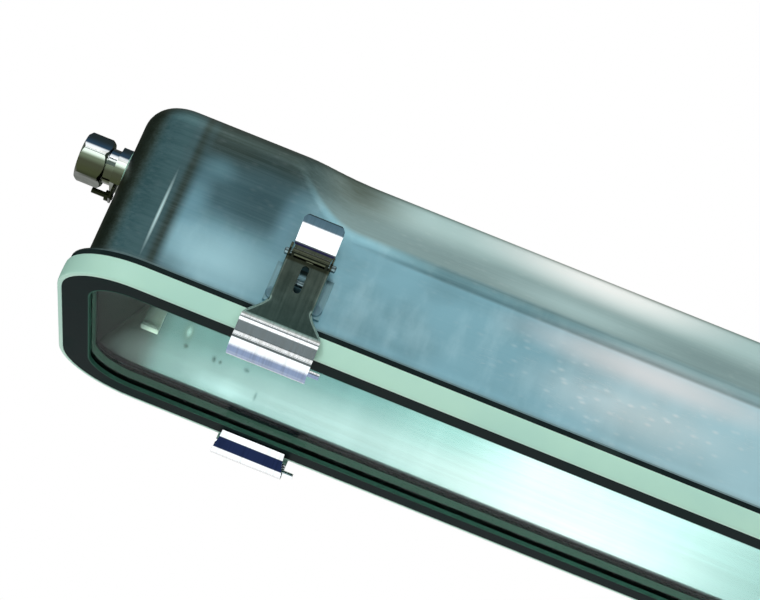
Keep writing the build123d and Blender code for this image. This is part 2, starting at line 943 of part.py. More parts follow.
def save_all():
    save("housing", make_housing())
    save("housing_gasket", make_seat_gasket())
    save("lens_frame", make_lens_frame())
    save("lens_retainer", make_lens_retainer())
    save("lens", make_lens())
    save("lens_seal", make_lens_seal())
    save_latches()
    save("gear_tray", make_tray())
    save("tray_reflector", make_reflector())
    save("tray_straps", [make_strap(end) for end in (-1, 1)])
    board_x = (board_length + board_end_gap) / 2
    boards = [make_board(end * board_x, row * board_spread) for end in (-1, 1) for row in (-1, 1)]
    save("light_boards", boards)
    save("led_driver", make_driver())
    save("driver_screws", [make_driver_screw(end) for end in (-1, 1)])
    save("terminal_block", make_terminal_block())
    save("supply_leads", make_supply_leads())
    save("board_leads", make_board_leads())
    save("tray_grommet", make_grommet())
    save("ground_stud", make_ground_stud())
    save("ground_nut", make_ground_nut())
    save("hanger_nuts", [make_hanger_nut(end * hanger_spacing / 2) for end in (-1, 1)])
    save("gland_washer", make_gland_washer())
    save("gland_body", make_gland_body())
    save("gland_cap_nut", make_gland_cap())
    save("gland_seal", make_gland_seal())
    save("gland_locknut", make_gland_locknut())
    save("bonding_lug", make_bonding_lug())
    save("bonding_screw", make_bonding_screw())


save_all()
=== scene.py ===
"""Looks of a vapor tight ceiling light: drawn steel housing, pale door frame, clear lens, draw latches."""
import logging
import math
from dataclasses import dataclass, field
from enum import Enum
from functools import cached_property

import bmesh
import bpy
import numpy as np
from mathutils import Matrix, Vector


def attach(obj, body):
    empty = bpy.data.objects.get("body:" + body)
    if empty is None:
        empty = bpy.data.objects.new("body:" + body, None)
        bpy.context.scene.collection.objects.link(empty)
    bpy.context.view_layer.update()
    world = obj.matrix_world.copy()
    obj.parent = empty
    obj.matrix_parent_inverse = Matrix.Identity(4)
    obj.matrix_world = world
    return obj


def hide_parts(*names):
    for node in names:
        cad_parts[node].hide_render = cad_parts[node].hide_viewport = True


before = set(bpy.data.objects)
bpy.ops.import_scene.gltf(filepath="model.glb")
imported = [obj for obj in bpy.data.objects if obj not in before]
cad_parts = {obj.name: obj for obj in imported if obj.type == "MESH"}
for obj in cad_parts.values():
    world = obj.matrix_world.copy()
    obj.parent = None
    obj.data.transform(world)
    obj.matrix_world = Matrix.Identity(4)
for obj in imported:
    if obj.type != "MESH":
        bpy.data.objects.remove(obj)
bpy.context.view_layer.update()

LOG = logging.getLogger("vapor_tight_light")
MM = 0.001
PHOTO_WIDTH = 760
PHOTO_HEIGHT = 600
SENSOR = 36.0
MERGE_REACH = 0.002 * MM
SHARP_ANGLE = 30.0
FLAT_ANGLE = 0.6
BEVEL_ANGLE = 38.0
STEEL_SLOT = "steel_drawn"
Socket = bpy.types.NodeSocket
Value = Socket | float | tuple
Colour = tuple[float, float, float]
Triple = tuple[float, float, float]
Range = tuple[float, float]
Stops = tuple[tuple[float, Colour], ...]
GRAIN_CONTRAST: Range = (0.35, 0.65)
WHITE: Colour = (1.0, 1.0, 1.0)


class Side(Enum):
    """Long sides of the light, by the way they face along Y."""

    NEAR = -1
    FAR = 1


class NodeSheet:
    """Writer for one node tree, which keeps the making of nodes and links short."""

    def __init__(self, tree: bpy.types.NodeTree) -> None:
        """Start on a tree with nothing in it."""
        self.tree = tree
        tree.nodes.clear()

    def add(self, kind: str, settings: dict | None = None, **inputs: Value) -> bpy.types.Node:
        """Make a node.

        Args:
            kind: Type of the node, without the words ShaderNode in front.
            settings: Properties of the node itself.
            inputs: A value or an output socket for each named input, with _ for a space.

        Returns:
            The new node.
        """
        node = self.tree.nodes.new(f"ShaderNode{kind}")
        for name, value in (settings or {}).items():
            setattr(node, name, value)
        self.feed(node, {name.replace("_", " "): value for name, value in inputs.items()})
        return node

    def feed(self, node: bpy.types.Node, inputs: dict[str | int, Value]) -> None:
        """Set inputs of a node, each from an output socket or from a plain value.

        Args:
            node: Node that takes the values.
            inputs: Value of each input, by its name or number.
        """
        for name, value in inputs.items():
            socket = node.inputs[name]
            if isinstance(value, Socket):
                self.tree.links.new(value, socket)
            elif socket.type == "RGBA":
                socket.default_value = (*value, 1.0)
            else:
                socket.default_value = value

    def math(self, operation: str, first: Value, *others: Value) -> Socket:
        """Work out a sum on one value, or step by step on several.

        Args:
            operation: Name of the sum.
            first: Socket or number.
            others: Sockets or numbers, taken up one after the other.

        Returns:
            The result.
        """
        for other in others or (0.0,):
            node = self.add("Math", {"operation": operation})
            self.feed(node, {0: first, 1: other})
            first = node.outputs[0]
        return first

    def times(self, *values: Value) -> Value:
        """Product of one or more values."""
        return self.math("MULTIPLY", *values) if values[1:] else values[0]

    def mix(self, first: Value, second: Value, *shares: Value, blend: str = "MIX") -> Socket:
        """Blend two colours.

        Args:
            first: Colour or socket.
            second: Colour or socket.
            shares: Values whose product is how much of the second colour shows.
            blend: Way in which they mix.

        Returns:
            The mixed colour.
        """
        node = self.add("Mix", {"data_type": "RGBA", "blend_type": blend})
        self.feed(node, {0: self.times(*shares), 6: first, 7: second})
        return node.outputs[2]

    def spread(self, value: Value, low: Value, high: Value, to_low: float = 0.0, to_high: float = 1.0,
               smooth: bool = True) -> Socket:
        """Stretch a value from one range to another.

        Args:
            value: Socket that varies.
            low: Lower end of its range.
            high: Upper end of its range.
            to_low: Result at the lower end.
            to_high: Result at the upper end.
            smooth: Whether the result eases in and out.

        Returns:
            The stretched value.
        """
        node = self.add("MapRange", {"interpolation_type": "SMOOTHSTEP" if smooth else "LINEAR"}, Value=value,
                        From_Min=low, From_Max=high, To_Min=to_low, To_Max=to_high)
        return node.outputs["Result"]

    def limit(self, value: Value, hidden: float, full: float) -> Socket:
        """Mask that is 0 at one value and 1 at another, which may lie above or below it."""
        low, high = sorted((hidden, full))
        return self.spread(value, low, high, float(low == full), float(high == full))

    def noise(self, place: Value, scale: Value, detail: float = 3.0, rough: float = 0.5) -> Socket:
        """Smooth noise from 0 to 1 at a place.

        Args:
            place: Coordinates.
            scale: Waves to the metre.
            detail: Number of finer layers.
            rough: Weight of the finer layers.

        Returns:
            The noise.
        """
        return self.add("TexNoise", Vector=place, Scale=scale, Detail=detail, Roughness=rough).outputs[0]

    def ramp(self, value: Value, stops: Stops) -> Socket:
        """Colour that runs through a row of stops.

        Args:
            value: Socket that varies.
            stops: Place and colour of each stop, in the same unit as the value.

        Returns:
            The colour.
        """
        low, high = stops[0][0], stops[-1][0]
        node = self.add("ValToRGB", Fac=self.spread(value, low, high, smooth=False))
        ramp = node.color_ramp
        ramp.interpolation = "EASE"
        for _ in stops[2:]:
            ramp.elements.new(0.5)
        for element, (place, colour) in zip(ramp.elements, stops):
            element.position = (place - low) / (high - low)
            element.color = (*colour, 1.0)
        return node.outputs[0]

    def stretched(self, place: Value, scale: Triple, shift: Triple = (0, 0, 0),
                  turn: Triple = (0, 0, 0)) -> Socket:
        """Coordinates stretched, moved and turned, each by a value for every axis."""
        return self.add("Mapping", Vector=place, Scale=scale, Location=shift, Rotation=turn).outputs[0]

    def split(self, place: Value) -> tuple[Socket, ...]:
        """X, Y and Z of coordinates, each by itself."""
        return tuple(self.add("SeparateXYZ", Vector=place).outputs)

    def folded(self, value: Value) -> Socket:
        """Value made negative, so that both halves of the light share the places of one."""
        return self.times(self.math("ABSOLUTE", value), -1.0)


class Effect:
    """Node group that several finishes share, made when the first of them takes it."""

    inputs: dict[str, float | Triple] = {}
    gives = "Mask"
    group: bpy.types.NodeTree | None = None

    def write(self, sheet: NodeSheet, given: dict[str, Socket]) -> Socket:
        """Write the nodes between the group's inputs and its one output.

        Args:
            sheet: Tree of the group.
            given: Its inputs.

        Returns:
            The output.
        """
        raise NotImplementedError

    def build(self) -> bpy.types.NodeTree:
        """Make the group with its sockets.

        Returns:
            The group.
        """
        group = bpy.data.node_groups.new(type(self).__name__, "ShaderNodeTree")
        for label, value in {"Place": (0.0, 0.0, 0.0), **self.inputs}.items():
            kind = "NodeSocketVector" if isinstance(value, tuple) else "NodeSocketFloat"
            group.interface.new_socket(label, in_out="INPUT", socket_type=kind).default_value = value
        group.interface.new_socket(self.gives, in_out="OUTPUT", socket_type="NodeSocketFloat")
        sheet = NodeSheet(group)
        given = group.nodes.new("NodeGroupInput").outputs
        sheet.feed(group.nodes.new("NodeGroupOutput"), {self.gives: self.write(sheet, given)})
        return group

    def __call__(self, sheet: NodeSheet, place: Value, **values: Value) -> Socket:
        """Put the effect into a tree.

        Args:
            sheet: Tree that takes it.
            place: Coordinates.
            values: Inputs that differ from their start values.

        Returns:
            Its output.
        """
        self.group = self.group or self.build()
        return sheet.add("Group", {"node_tree": self.group}, Place=place, **values).outputs[self.gives]


class Clouds(Effect):
    """Soft uneven patches: large noise stretched to full contrast between Low and High."""

    inputs = {"Scale": 6.0, "Low": 0.35, "High": 0.65}

    def write(self, sheet: NodeSheet, given: dict[str, Socket]) -> Socket:
        """Write the nodes of the patches."""
        noise = sheet.noise(given["Place"], given["Scale"], detail=4.0, rough=0.55)
        return sheet.spread(noise, given["Low"], given["High"])


class Grain(Effect):
    """Fine lines of rolled sheet: a fine and a coarse noise, both stretched far along X."""

    inputs = {"Fineness": 1.0}
    gives = "Height"
    fine_stretch: Triple = (14.0, 900.0, 900.0)
    coarse_stretch: Triple = (5.0, 160.0, 160.0)
    fine_share: float = 0.6

    def write(self, sheet: NodeSheet, given: dict[str, Socket]) -> Socket:
        """Write the nodes of the lines.

        Args:
            sheet: Tree of the group.
            given: Its inputs.

        Returns:
            The weighed sum of both noises.
        """
        place, scale = given["Place"], given["Fineness"]
        fine = sheet.noise(sheet.stretched(place, self.fine_stretch), scale, detail=2.0, rough=0.6)
        coarse = sheet.noise(sheet.stretched(place, self.coarse_stretch), scale)
        coarse_share = 1.0 - self.fine_share
        return sheet.math("ADD", sheet.times(fine, self.fine_share), sheet.times(coarse, coarse_share))


class Scratches(Effect):
    """Short bright scratches: thin crests of stretched noise in three ways, broken up by a second noise."""

    inputs = {"Amount": 0.5}
    turns_and_shifts: tuple[Range, ...] = ((0.06, 0.0), (-0.16, 3.7), (0.42, 9.1))
    stretch: Triple = (60.0, 60.0, 900.0)
    width: float = 0.012

    def write(self, sheet: NodeSheet, given: dict[str, Socket]) -> Socket:
        """Write the nodes of the scratches.

        Args:
            sheet: Tree of the group.
            given: Its inputs.

        Returns:
            The mask of the scratches.
        """
        lines = []
        for turn, shift in self.turns_and_shifts:
            laid = sheet.stretched(given["Place"], self.stretch, (shift, shift, shift), (0.0, turn, 0.0))
            crest = sheet.noise(laid, scale=1.0, detail=1.0, rough=0.4)
            off_crest = sheet.math("ABSOLUTE", sheet.math("SUBTRACT", crest, 0.5))
            lines.append(sheet.limit(off_crest, self.width, 0.0))
        broken = sheet.noise(sheet.stretched(given["Place"], WHITE, (2.0, 5.0, 1.0)), scale=70.0, detail=2.0)
        kept = sheet.spread(broken, sheet.math("SUBTRACT", 1.0, given["Amount"]), 0.9)
        return sheet.times(sheet.math("MAXIMUM", *lines), kept)


class Specks(Effect):
    """Tiny round specks: the middles of scattered cells, kept where a noise is high."""

    inputs = {"Scale": 220.0, "Size": 0.16, "Amount": 0.4}

    def write(self, sheet: NodeSheet, given: dict[str, Socket]) -> Socket:
        """Write the nodes of the specks.

        Args:
            sheet: Tree of the group.
            given: Its inputs.

        Returns:
            The mask of the specks.
        """
        cells = sheet.add("TexVoronoi", Vector=given["Place"], Scale=given["Scale"])
        dots = sheet.spread(cells.outputs["Distance"], 0.0, given["Size"], 1.0, 0.0)
        where = sheet.noise(given["Place"], scale=24.0, detail=2.0)
        return sheet.times(dots, sheet.spread(where, sheet.math("SUBTRACT", 1.0, given["Amount"]), 0.85))


class Outline(Effect):
    """Distance outwards over a rounded rectangle: 0 on an inner frame of Half X by Half Y."""

    inputs = {"Half X": 0.59, "Half Y": 0.05}
    gives = "Reach"

    def write(self, sheet: NodeSheet, given: dict[str, Socket]) -> Socket:
        """Write the nodes of the distance.

        Args:
            sheet: Tree of the group.
            given: Its inputs.

        Returns:
            The root of the squares of what lies past the frame along X and Y.
        """
        squares = []
        for value, half in zip(sheet.split(given["Place"]), (given["Half X"], given["Half Y"])):
            past = sheet.math("MAXIMUM", sheet.math("SUBTRACT", sheet.math("ABSOLUTE", value), half), 0.0)
            squares.append(sheet.times(past, past))
        return sheet.math("SQRT", sheet.math("ADD", *squares))


class Spot(Effect):
    """Soft oval spot: 1 at Middle, fading to 0 at the distance Reach from it along each axis."""

    inputs = {"Middle": (0.0, 0.0, 0.0), "Reach": WHITE}

    def write(self, sheet: NodeSheet, given: dict[str, Socket]) -> Socket:
        """Write the nodes of the spot.

        Args:
            sheet: Tree of the group.
            given: Its inputs.

        Returns:
            The mask, from the length of the way to the middle measured in reaches.
        """
        laid = sheet.add("Mapping", {"vector_type": "TEXTURE"}, Vector=given["Place"],
                         Location=given["Middle"], Scale=given["Reach"])
        length = sheet.add("VectorMath", {"operation": "LENGTH"}, Vector=laid.outputs[0])
        return sheet.limit(length.outputs["Value"], 1.0, 0.0)


CLOUDS, GRAIN, SCRATCHES, SPECKS, OUTLINE, SPOT = Clouds(), Grain(), Scratches(), Specks(), Outline(), Spot()


@dataclass(frozen=True)
class ToneSpot:
    """Soft oval spot of another tone, placed and sized in metres."""

    middle: Triple
    reach: Triple
    tone: Colour
    share: float = 0.8

    def lay(self, sheet: NodeSheet, place: Socket, tone: Value) -> Socket:
        """Colour with the spot laid over it, at coordinates of the given sheet."""
        mask = SPOT(sheet, place, Middle=self.middle, Reach=self.reach)
        return sheet.mix(tone, self.tone, mask, self.share)


@dataclass(frozen=True)
class ToneBand:
    """Another tone within limits: an axis, where the tone is gone and where it is full, in millimetres."""

    tone: Colour
    limits: tuple[tuple[str, float, float], ...]
    share: float = 1.0
    roughness: float = 0.0
    blend: str = "MIX"

    def mask(self, sheet: NodeSheet, axes: dict[str, Socket]) -> Socket:
        """Product of the masks of all limits."""
        masks = [sheet.limit(axes[axis], gone * MM, full * MM) for axis, gone, full in self.limits]
        return sheet.times(*masks)

    def lay(self, sheet: NodeSheet, axes: dict[str, Socket], tone: Value) -> Socket:
        """Colour with the band laid over it."""
        return sheet.mix(tone, self.tone, self.mask(sheet, axes), self.share, blend=self.blend)


class MaterialSheet(NodeSheet):
    """Node tree of a new material."""

    def __init__(self, name: str) -> None:
        """Open a material.

        Args:
            name: Name of the material.
        """
        self.material = bpy.data.materials.new(name)
        self.material.use_nodes = True
        super().__init__(self.material.node_tree)

    @cached_property
    def place(self) -> Socket:
        """Coordinates of the object that wears the material."""
        return self.add("TexCoord").outputs["Object"]

    def close(self, colour: Value, rough: Value, height: Value | None = None, depth: float = 0.0,
              **others: Value) -> bpy.types.Material:
        """Finish the material with its shader.

        Args:
            colour: Base colour.
            rough: Roughness.
            height: Height for the bump, if any.
            depth: Depth of the bump in metres.
            others: Other inputs of the shader.

        Returns:
            The material.
        """
        if height is not None:
            others["Normal"] = self.add("Bump", Height=height, Distance=depth, Strength=1.0).outputs[0]
        shader = self.add("BsdfPrincipled", Base_Color=colour, Roughness=rough, **others)
        self.feed(self.add("OutputMaterial"), {"Surface": shader.outputs[0]})
        return self.material


@dataclass(frozen=True)
class DrawnSteel:
    """Dull drawn stainless sheet: cloudy tone, fine rolled lines and short scratches, with painted shade,
    painted reflections and painted highlights at the ends, on the shoulders, along the crease and at the
    foot, and painted light on the inner wall.

    The spots and bands are laid out for one end of one side and mirrored to the others.
    """

    name: str = "drawn_steel"
    dark: Colour = (0.17, 0.33, 0.37)
    mid: Colour = (0.31, 0.58, 0.67)
    light: Colour = (0.60, 0.87, 0.93)
    glint: Colour = (0.95, 1.0, 1.0)
    cloud_share: float = 0.35
    # Painted light: the sheet turns lighter towards the middle of each long side, where the lamp glare falls.
    painted_light_share: float = 0.75
    painted_light_run: Range = (-405.0 * MM, -285.0 * MM)
    # Painted reflection on the sloped shoulder: dark next to the crease, light towards the roof.
    shoulder_low_shade: Colour = (0.23, 0.33, 0.33)
    shoulder_high_highlight: Colour = (0.44, 0.60, 0.59)
    shoulder_start: Range = (-560.0 * MM, -530.0 * MM)
    shoulder_edge: Range = (-84.4 * MM, -82.5 * MM)
    shoulder_climb: Range = (-79.5 * MM, -72.6 * MM)
    # Painted reflections and shade: dark and light upright bands across the rounded end corner.
    end_reflection_run: Range = (-583.0 * MM, -590.0 * MM)
    end_reflection_stops: Stops = (
        (-0.626, (0.035, 0.045, 0.028)), (-0.618, (0.05, 0.07, 0.05)), (-0.609, (0.055, 0.125, 0.135)),
        (-0.5990, (0.075, 0.155, 0.165)), (-0.5945, (0.08, 0.15, 0.16)), (-0.5905, (0.05, 0.075, 0.065)),
        (-0.584, (0.075, 0.14, 0.15)),
    )
    # Painted highlight: a thin bright upright streak on the rounded end corner.
    streak: ToneSpot = ToneSpot((-0.5962, -0.085, -0.066), (0.0013, 0.03, 0.030), (0.75, 1.0, 1.0), 1.0)
    # Painted shade and dark reflections on the upper wall and below the roof edge near each end.
    upper_shade: ToneBand = ToneBand((0.085, 0.17, 0.195), (("x", -500.0, -545.0), ("z", -70.0, -46.0)))
    brow_shade: ToneBand = ToneBand((0.052, 0.078, 0.068), (("x", -500.0, -545.0), ("z", -34.0, -16.0)))
    # Painted shade: a darker multiplied band along the crease, away from the ends.
    crease: ToneBand = ToneBand(
        (0.34, 0.36, 0.34), (("z", -44.0, -42.0), ("z", -33.0, -36.0), ("x", -500.0, -440.0)), 0.75,
        blend="MULTIPLY",
    )
    # Painted shade at the foot of the wall, above the rim.
    foot: ToneBand = ToneBand((0.14, 0.20, 0.20), (("z", -91.0, -98.0),), 0.75)
    # Painted light low on the inner wall of the pan, seen through the lens.
    inside: ToneBand = ToneBand((0.70, 0.95, 0.90), (("reach", 24.7, 24.3), ("z", -70.0, -80.0)))
    frame_half: Range = (600.0 * MM, 60.0 * MM)
    # Painted shade and dark reflections near each end, and painted highlights and glare on the shoulder and
    # the side panel further in.
    spots: tuple[ToneSpot, ...] = (
        ToneSpot((-0.549, -0.085, -0.038), (0.024, 0.03, 0.032), (0.060, 0.122, 0.138), 0.85),
        ToneSpot((-0.576, -0.085, -0.031), (0.014, 0.03, 0.011), (0.16, 0.32, 0.37), 0.8),
        ToneSpot((-0.582, -0.085, -0.053), (0.012, 0.03, 0.024), (0.24, 0.47, 0.56), 0.75),
        ToneSpot((-0.531, -0.085, -0.048), (0.010, 0.03, 0.028), (0.24, 0.45, 0.54), 0.7),
        ToneSpot((-0.558, -0.085, -0.080), (0.044, 0.03, 0.024), (0.58, 0.92, 1.0), 0.85),
        ToneSpot((-0.590, -0.085, -0.096), (0.030, 0.03, 0.016), (0.06, 0.09, 0.10), 0.7),
        ToneSpot((-0.505, -0.070, -0.010), (0.044, 0.0165, 0.042), (0.07, 0.088, 0.065), 1.0),
        ToneSpot((-0.360, -0.068, -0.006), (0.095, 0.017, 0.022), (1.0, 1.0, 0.98), 1.0),
        ToneSpot((-0.370, -0.081, -0.027), (0.070, 0.009, 0.014), (0.42, 0.57, 0.57), 0.8),
        ToneSpot((-0.322, -0.085, -0.049), (0.100, 0.005, 0.015), (1.0, 1.0, 1.0), 1.0),
        ToneSpot((-0.325, -0.085, -0.072), (0.075, 0.03, 0.020), (0.90, 1.0, 1.0), 0.6),
    )
    # Painted glare over real scratches: in this spot on the side panel the scratches and specks show as white
    # glints, elsewhere only faintly.
    wear_and_glare: ToneSpot = ToneSpot((-0.325, -0.085, -0.068), (0.110, 0.06, 0.034), (1.0, 1.0, 1.0), 1.0)
    wear_and_glare_elsewhere: Colour = (0.06, 0.06, 0.06)
    grain_share: float = 0.05
    relief_share: float = 0.04
    roughness: Range = (0.32, 0.40)
    mark_shine: float = 0.1
    wave_depth: float = 0.7 * MM

    def build(self) -> bpy.types.Material:
        """Make the material.

        Returns:
            The material.
        """
        sheet = MaterialSheet(self.name)
        place = sheet.place
        x, y, z = sheet.split(place)
        x, y = sheet.folded(x), sheet.folded(y)
        folded = sheet.add("CombineXYZ", X=x, Y=y, Z=z).outputs[0]
        half_x, half_y = self.frame_half
        axes = {"x": x, "z": z, "reach": OUTLINE(sheet, place, Half_X=half_x, Half_Y=half_y)}
        wide = sheet.stretched(place, (1.0, 1.0, 1.6), (0.31, 0.0, 0.07))
        patches = CLOUDS(sheet, wide, Scale=16.0, Low=0.36, High=0.66)
        flecks = CLOUDS(sheet, sheet.stretched(place, (1.0, 1.0, 0.45)), Scale=70.0, Low=0.45, High=0.75)
        tone = sheet.mix(self.mid, self.dark, patches, self.cloud_share)
        tone = sheet.mix(tone, self.light, flecks, self.cloud_share)
        # Painted light towards the middle of each long side.
        tone = sheet.mix(tone, self.light, sheet.limit(x, *self.painted_light_run), self.painted_light_share)
        # Painted reflection on the shoulder, away from the ends.
        shoulder = sheet.mix(self.shoulder_low_shade, self.shoulder_high_highlight, sheet.limit(y, *self.shoulder_climb))
        on_shoulder = sheet.times(sheet.limit(y, *self.shoulder_edge), sheet.limit(x, *self.shoulder_start))
        tone = sheet.mix(tone, shoulder, on_shoulder)
        # Painted shade and dark reflections near the ends.
        for band in (self.upper_shade, self.brow_shade):
            tone = band.lay(sheet, axes, tone)
        # Painted shade, reflections and highlights in spots.
        for spot in self.spots:
            tone = spot.lay(sheet, folded, tone)
        # Painted shade along the crease.
        tone = self.crease.lay(sheet, axes, tone)
        # Painted reflection bands across the rounded end corner.
        tone = sheet.mix(tone, sheet.ramp(x, self.end_reflection_stops), sheet.limit(x, *self.end_reflection_run))
        # Painted highlight streak on the end corner, then painted shade at the foot of the wall.
        tone = self.foot.lay(sheet, axes, self.streak.lay(sheet, folded, tone))
        grain = GRAIN(sheet, place)
        tone = sheet.mix(tone, self.light, sheet.spread(grain, *GRAIN_CONTRAST), self.grain_share)
        # Painted light low on the inner wall.
        tone = self.inside.lay(sheet, axes, tone)
        specks = SPECKS(sheet, sheet.stretched(place, (0.45, 1.0, 1.0)), Scale=260.0, Size=0.36, Amount=0.95)
        marks = sheet.math("MAXIMUM", SCRATCHES(sheet, place, Amount=0.62), specks)
        # Scratches and specks with painted glare: white glints mostly inside the glare spot.
        marks = sheet.times(marks, self.wear_and_glare.lay(sheet, folded, self.wear_and_glare_elsewhere))
        tone = sheet.mix(tone, self.glint, marks)
        rough = sheet.spread(patches, 0.0, 1.0, *self.roughness, smooth=False)
        rough = sheet.math("SUBTRACT", rough, sheet.times(marks, self.mark_shine))
        waves = sheet.noise(sheet.stretched(place, (1.0, 1.0, 1.3)), scale=16.0, detail=2.0)
        relief = [sheet.times(value, self.relief_share) for value in (grain, marks)]
        return sheet.close(tone, rough, sheet.math("ADD", waves, *relief), self.wave_depth, Metallic=1.0)


@dataclass(frozen=True)
class BrightSteel:
    """Bright pressed steel of the latches and fittings, which mirrors the room in hard bands."""

    name: str = "bright_steel"
    tone: Colour = (0.80, 0.82, 0.82)
    stain: Colour = (0.52, 0.54, 0.50)
    roughness: float = 0.08
    wave_depth: float = 0.12 * MM
    speck: Colour = (0.25, 0.25, 0.22)
    stain_share: float = 0.5
    duller: float = 0.08

    def build(self) -> bpy.types.Material:
        """Make the material.

        Returns:
            The material.
        """
        sheet = MaterialSheet(self.name)
        patches = CLOUDS(sheet, sheet.place, Scale=60.0, Low=0.4, High=0.7)
        specks = SPECKS(sheet, sheet.place, Scale=900.0, Amount=0.45)
        tone = sheet.mix(self.tone, self.stain, patches, self.stain_share)
        tone = sheet.mix(tone, self.speck, specks, self.stain_share)
        rough = sheet.spread(patches, 0.0, 1.0, self.roughness, self.roughness + self.duller, smooth=False)
        waves = sheet.noise(sheet.place, scale=55.0, detail=2.0)
        return sheet.close(tone, rough, waves, self.wave_depth, Metallic=1.0)


@dataclass(frozen=True)
class PaintedReflectionSteel(BrightSteel):
    """Bright steel with painted reflections, painted highlights and painted shade: a row of light and dark
    tones over its height, and duller tones in a few places.

    The bands lie beside the housing wall, in a tone like the housing panel, at the lip of the near hooks, as
    a painted blue reflection, and at the bend of the far ones, as painted shade.
    """

    name: str = "latch_steel"
    # Painted reflections, highlights and shade: light and dark tones by height.
    stops: Stops = (
        (-0.1280, (0.84, 0.86, 0.88)), (-0.1056, (0.88, 0.90, 0.92)), (-0.1046, (0.20, 0.30, 0.27)),
        (-0.0700, (0.20, 0.25, 0.21)), (-0.0690, (0.09, 0.10, 0.065)), (-0.0575, (0.055, 0.065, 0.045)),
        (-0.0570, (0.012, 0.012, 0.05)), (-0.0562, (0.012, 0.012, 0.05)), (-0.0557, (0.96, 0.97, 1.0)),
        (-0.0462, (0.96, 0.97, 1.0)), (-0.0455, (0.07, 0.12, 0.155)), (-0.0400, (0.045, 0.09, 0.12)),
    )
    bands: tuple[ToneBand, ...] = (
        ToneBand((0.26, 0.46, 0.53), (("out", 87.2, 86.2), ("z", -97.0, -96.0)), roughness=0.35),
        ToneBand((0.20, 0.25, 0.37), (
            ("out", 88.9, 89.5), ("out", 96.8, 95.5), ("y", 1.0, -1.0), ("z", -121.5, -122.0),
        )),
        ToneBand((0.012, 0.02, 0.06), (
            ("z", -118.0, -118.5), ("z", -124.8, -124.3), ("out", 89.0, 88.5), ("y", 0.0, 1.0),
        )),
    )
    streak: Colour = (0.50, 0.50, 0.44)
    streak_share: float = 0.35
    streak_contrast: Range = (0.4, 0.7)
    streak_dulling: Range = (0.3, 0.8)
    streak_relief: float = 0.06
    speck_share: float = 0.4
    duller: float = 0.10

    def build(self) -> bpy.types.Material:
        """Make the material.

        Returns:
            The material.
        """
        sheet = MaterialSheet(self.name)
        _, y, z = sheet.split(sheet.place)
        axes = {"y": y, "z": z, "out": sheet.math("ABSOLUTE", y)}
        # Painted reflections and shade by height.
        tone = sheet.ramp(z, self.stops)
        streaks = sheet.noise(sheet.stretched(sheet.place, (700.0, 40.0, 22.0)), scale=1.0, rough=0.6)
        rough = sheet.spread(streaks, *self.streak_dulling, self.roughness, self.roughness + self.duller)
        for band in self.bands:
            tone = band.lay(sheet, axes, tone)
            rough = sheet.math("MAXIMUM", rough, sheet.times(band.mask(sheet, axes), band.roughness))
        shown = sheet.spread(streaks, *self.streak_contrast)
        tone = sheet.mix(tone, self.streak, shown, self.streak_share, blend="MULTIPLY")
        specks = SPECKS(sheet, sheet.place, Scale=900.0, Amount=0.45)
        tone = sheet.mix(tone, self.stain, specks, self.speck_share)
        waves = sheet.noise(sheet.place, scale=55.0, detail=2.0)
        height = sheet.math("ADD", waves, sheet.times(streaks, self.streak_relief))
        return sheet.close(tone, rough, height, self.wave_depth, Metallic=1.0)


@dataclass(frozen=True)
class SatinPaint:
    """Satin paint, slightly uneven, with small chips of a darker ground and maybe painted shade over its
    inner side.
    """

    name: str = "satin_paint"
    tone: Colour = (0.56, 0.83, 0.66)
    shade: Colour = (0.50, 0.77, 0.63)
    roughness: float = 0.38
    uneven: float = 0.05
    chip: Colour = (0.14, 0.20, 0.17)
    chip_share: float = 0.35
    # Painted shade: where the outline reach is below this, if above 0, the paint turns near black.
    painted_shade_inside: float = 0.0
    painted_shade_edge: float = 0.4 * MM
    painted_shade_tone: Colour = (0.006, 0.011, 0.010)
    shine: Range = (0.5, 0.03)
    peel_depth: float = 0.05 * MM

    def build(self) -> bpy.types.Material:
        """Make the material.

        Returns:
            The material.
        """
        sheet = MaterialSheet(self.name)
        patches = CLOUDS(sheet, sheet.place, Scale=14.0, Low=0.35, High=0.7)
        chips = SPECKS(sheet, sheet.place, Scale=420.0, Size=0.12, Amount=0.36)
        tone = sheet.mix(self.tone, self.shade, patches)
        tone = sheet.mix(tone, self.chip, chips, self.chip_share)
        others: dict[str, Value] = {}
        # Painted shade over the inner side.
        if self.painted_shade_inside:
            reach = OUTLINE(sheet, sheet.place)
            inside = sheet.limit(reach, self.painted_shade_inside + self.painted_shade_edge, self.painted_shade_inside)
            tone = sheet.mix(tone, self.painted_shade_tone, inside)
            others["Specular_IOR_Level"] = sheet.spread(inside, 0.0, 1.0, *self.shine, smooth=False)
        rough = sheet.spread(patches, 0.0, 1.0, self.roughness - self.uneven, self.roughness + self.uneven)
        peel = sheet.noise(sheet.place, scale=380.0, detail=2.0)
        return sheet.close(tone, rough, peel, self.peel_depth, **others)


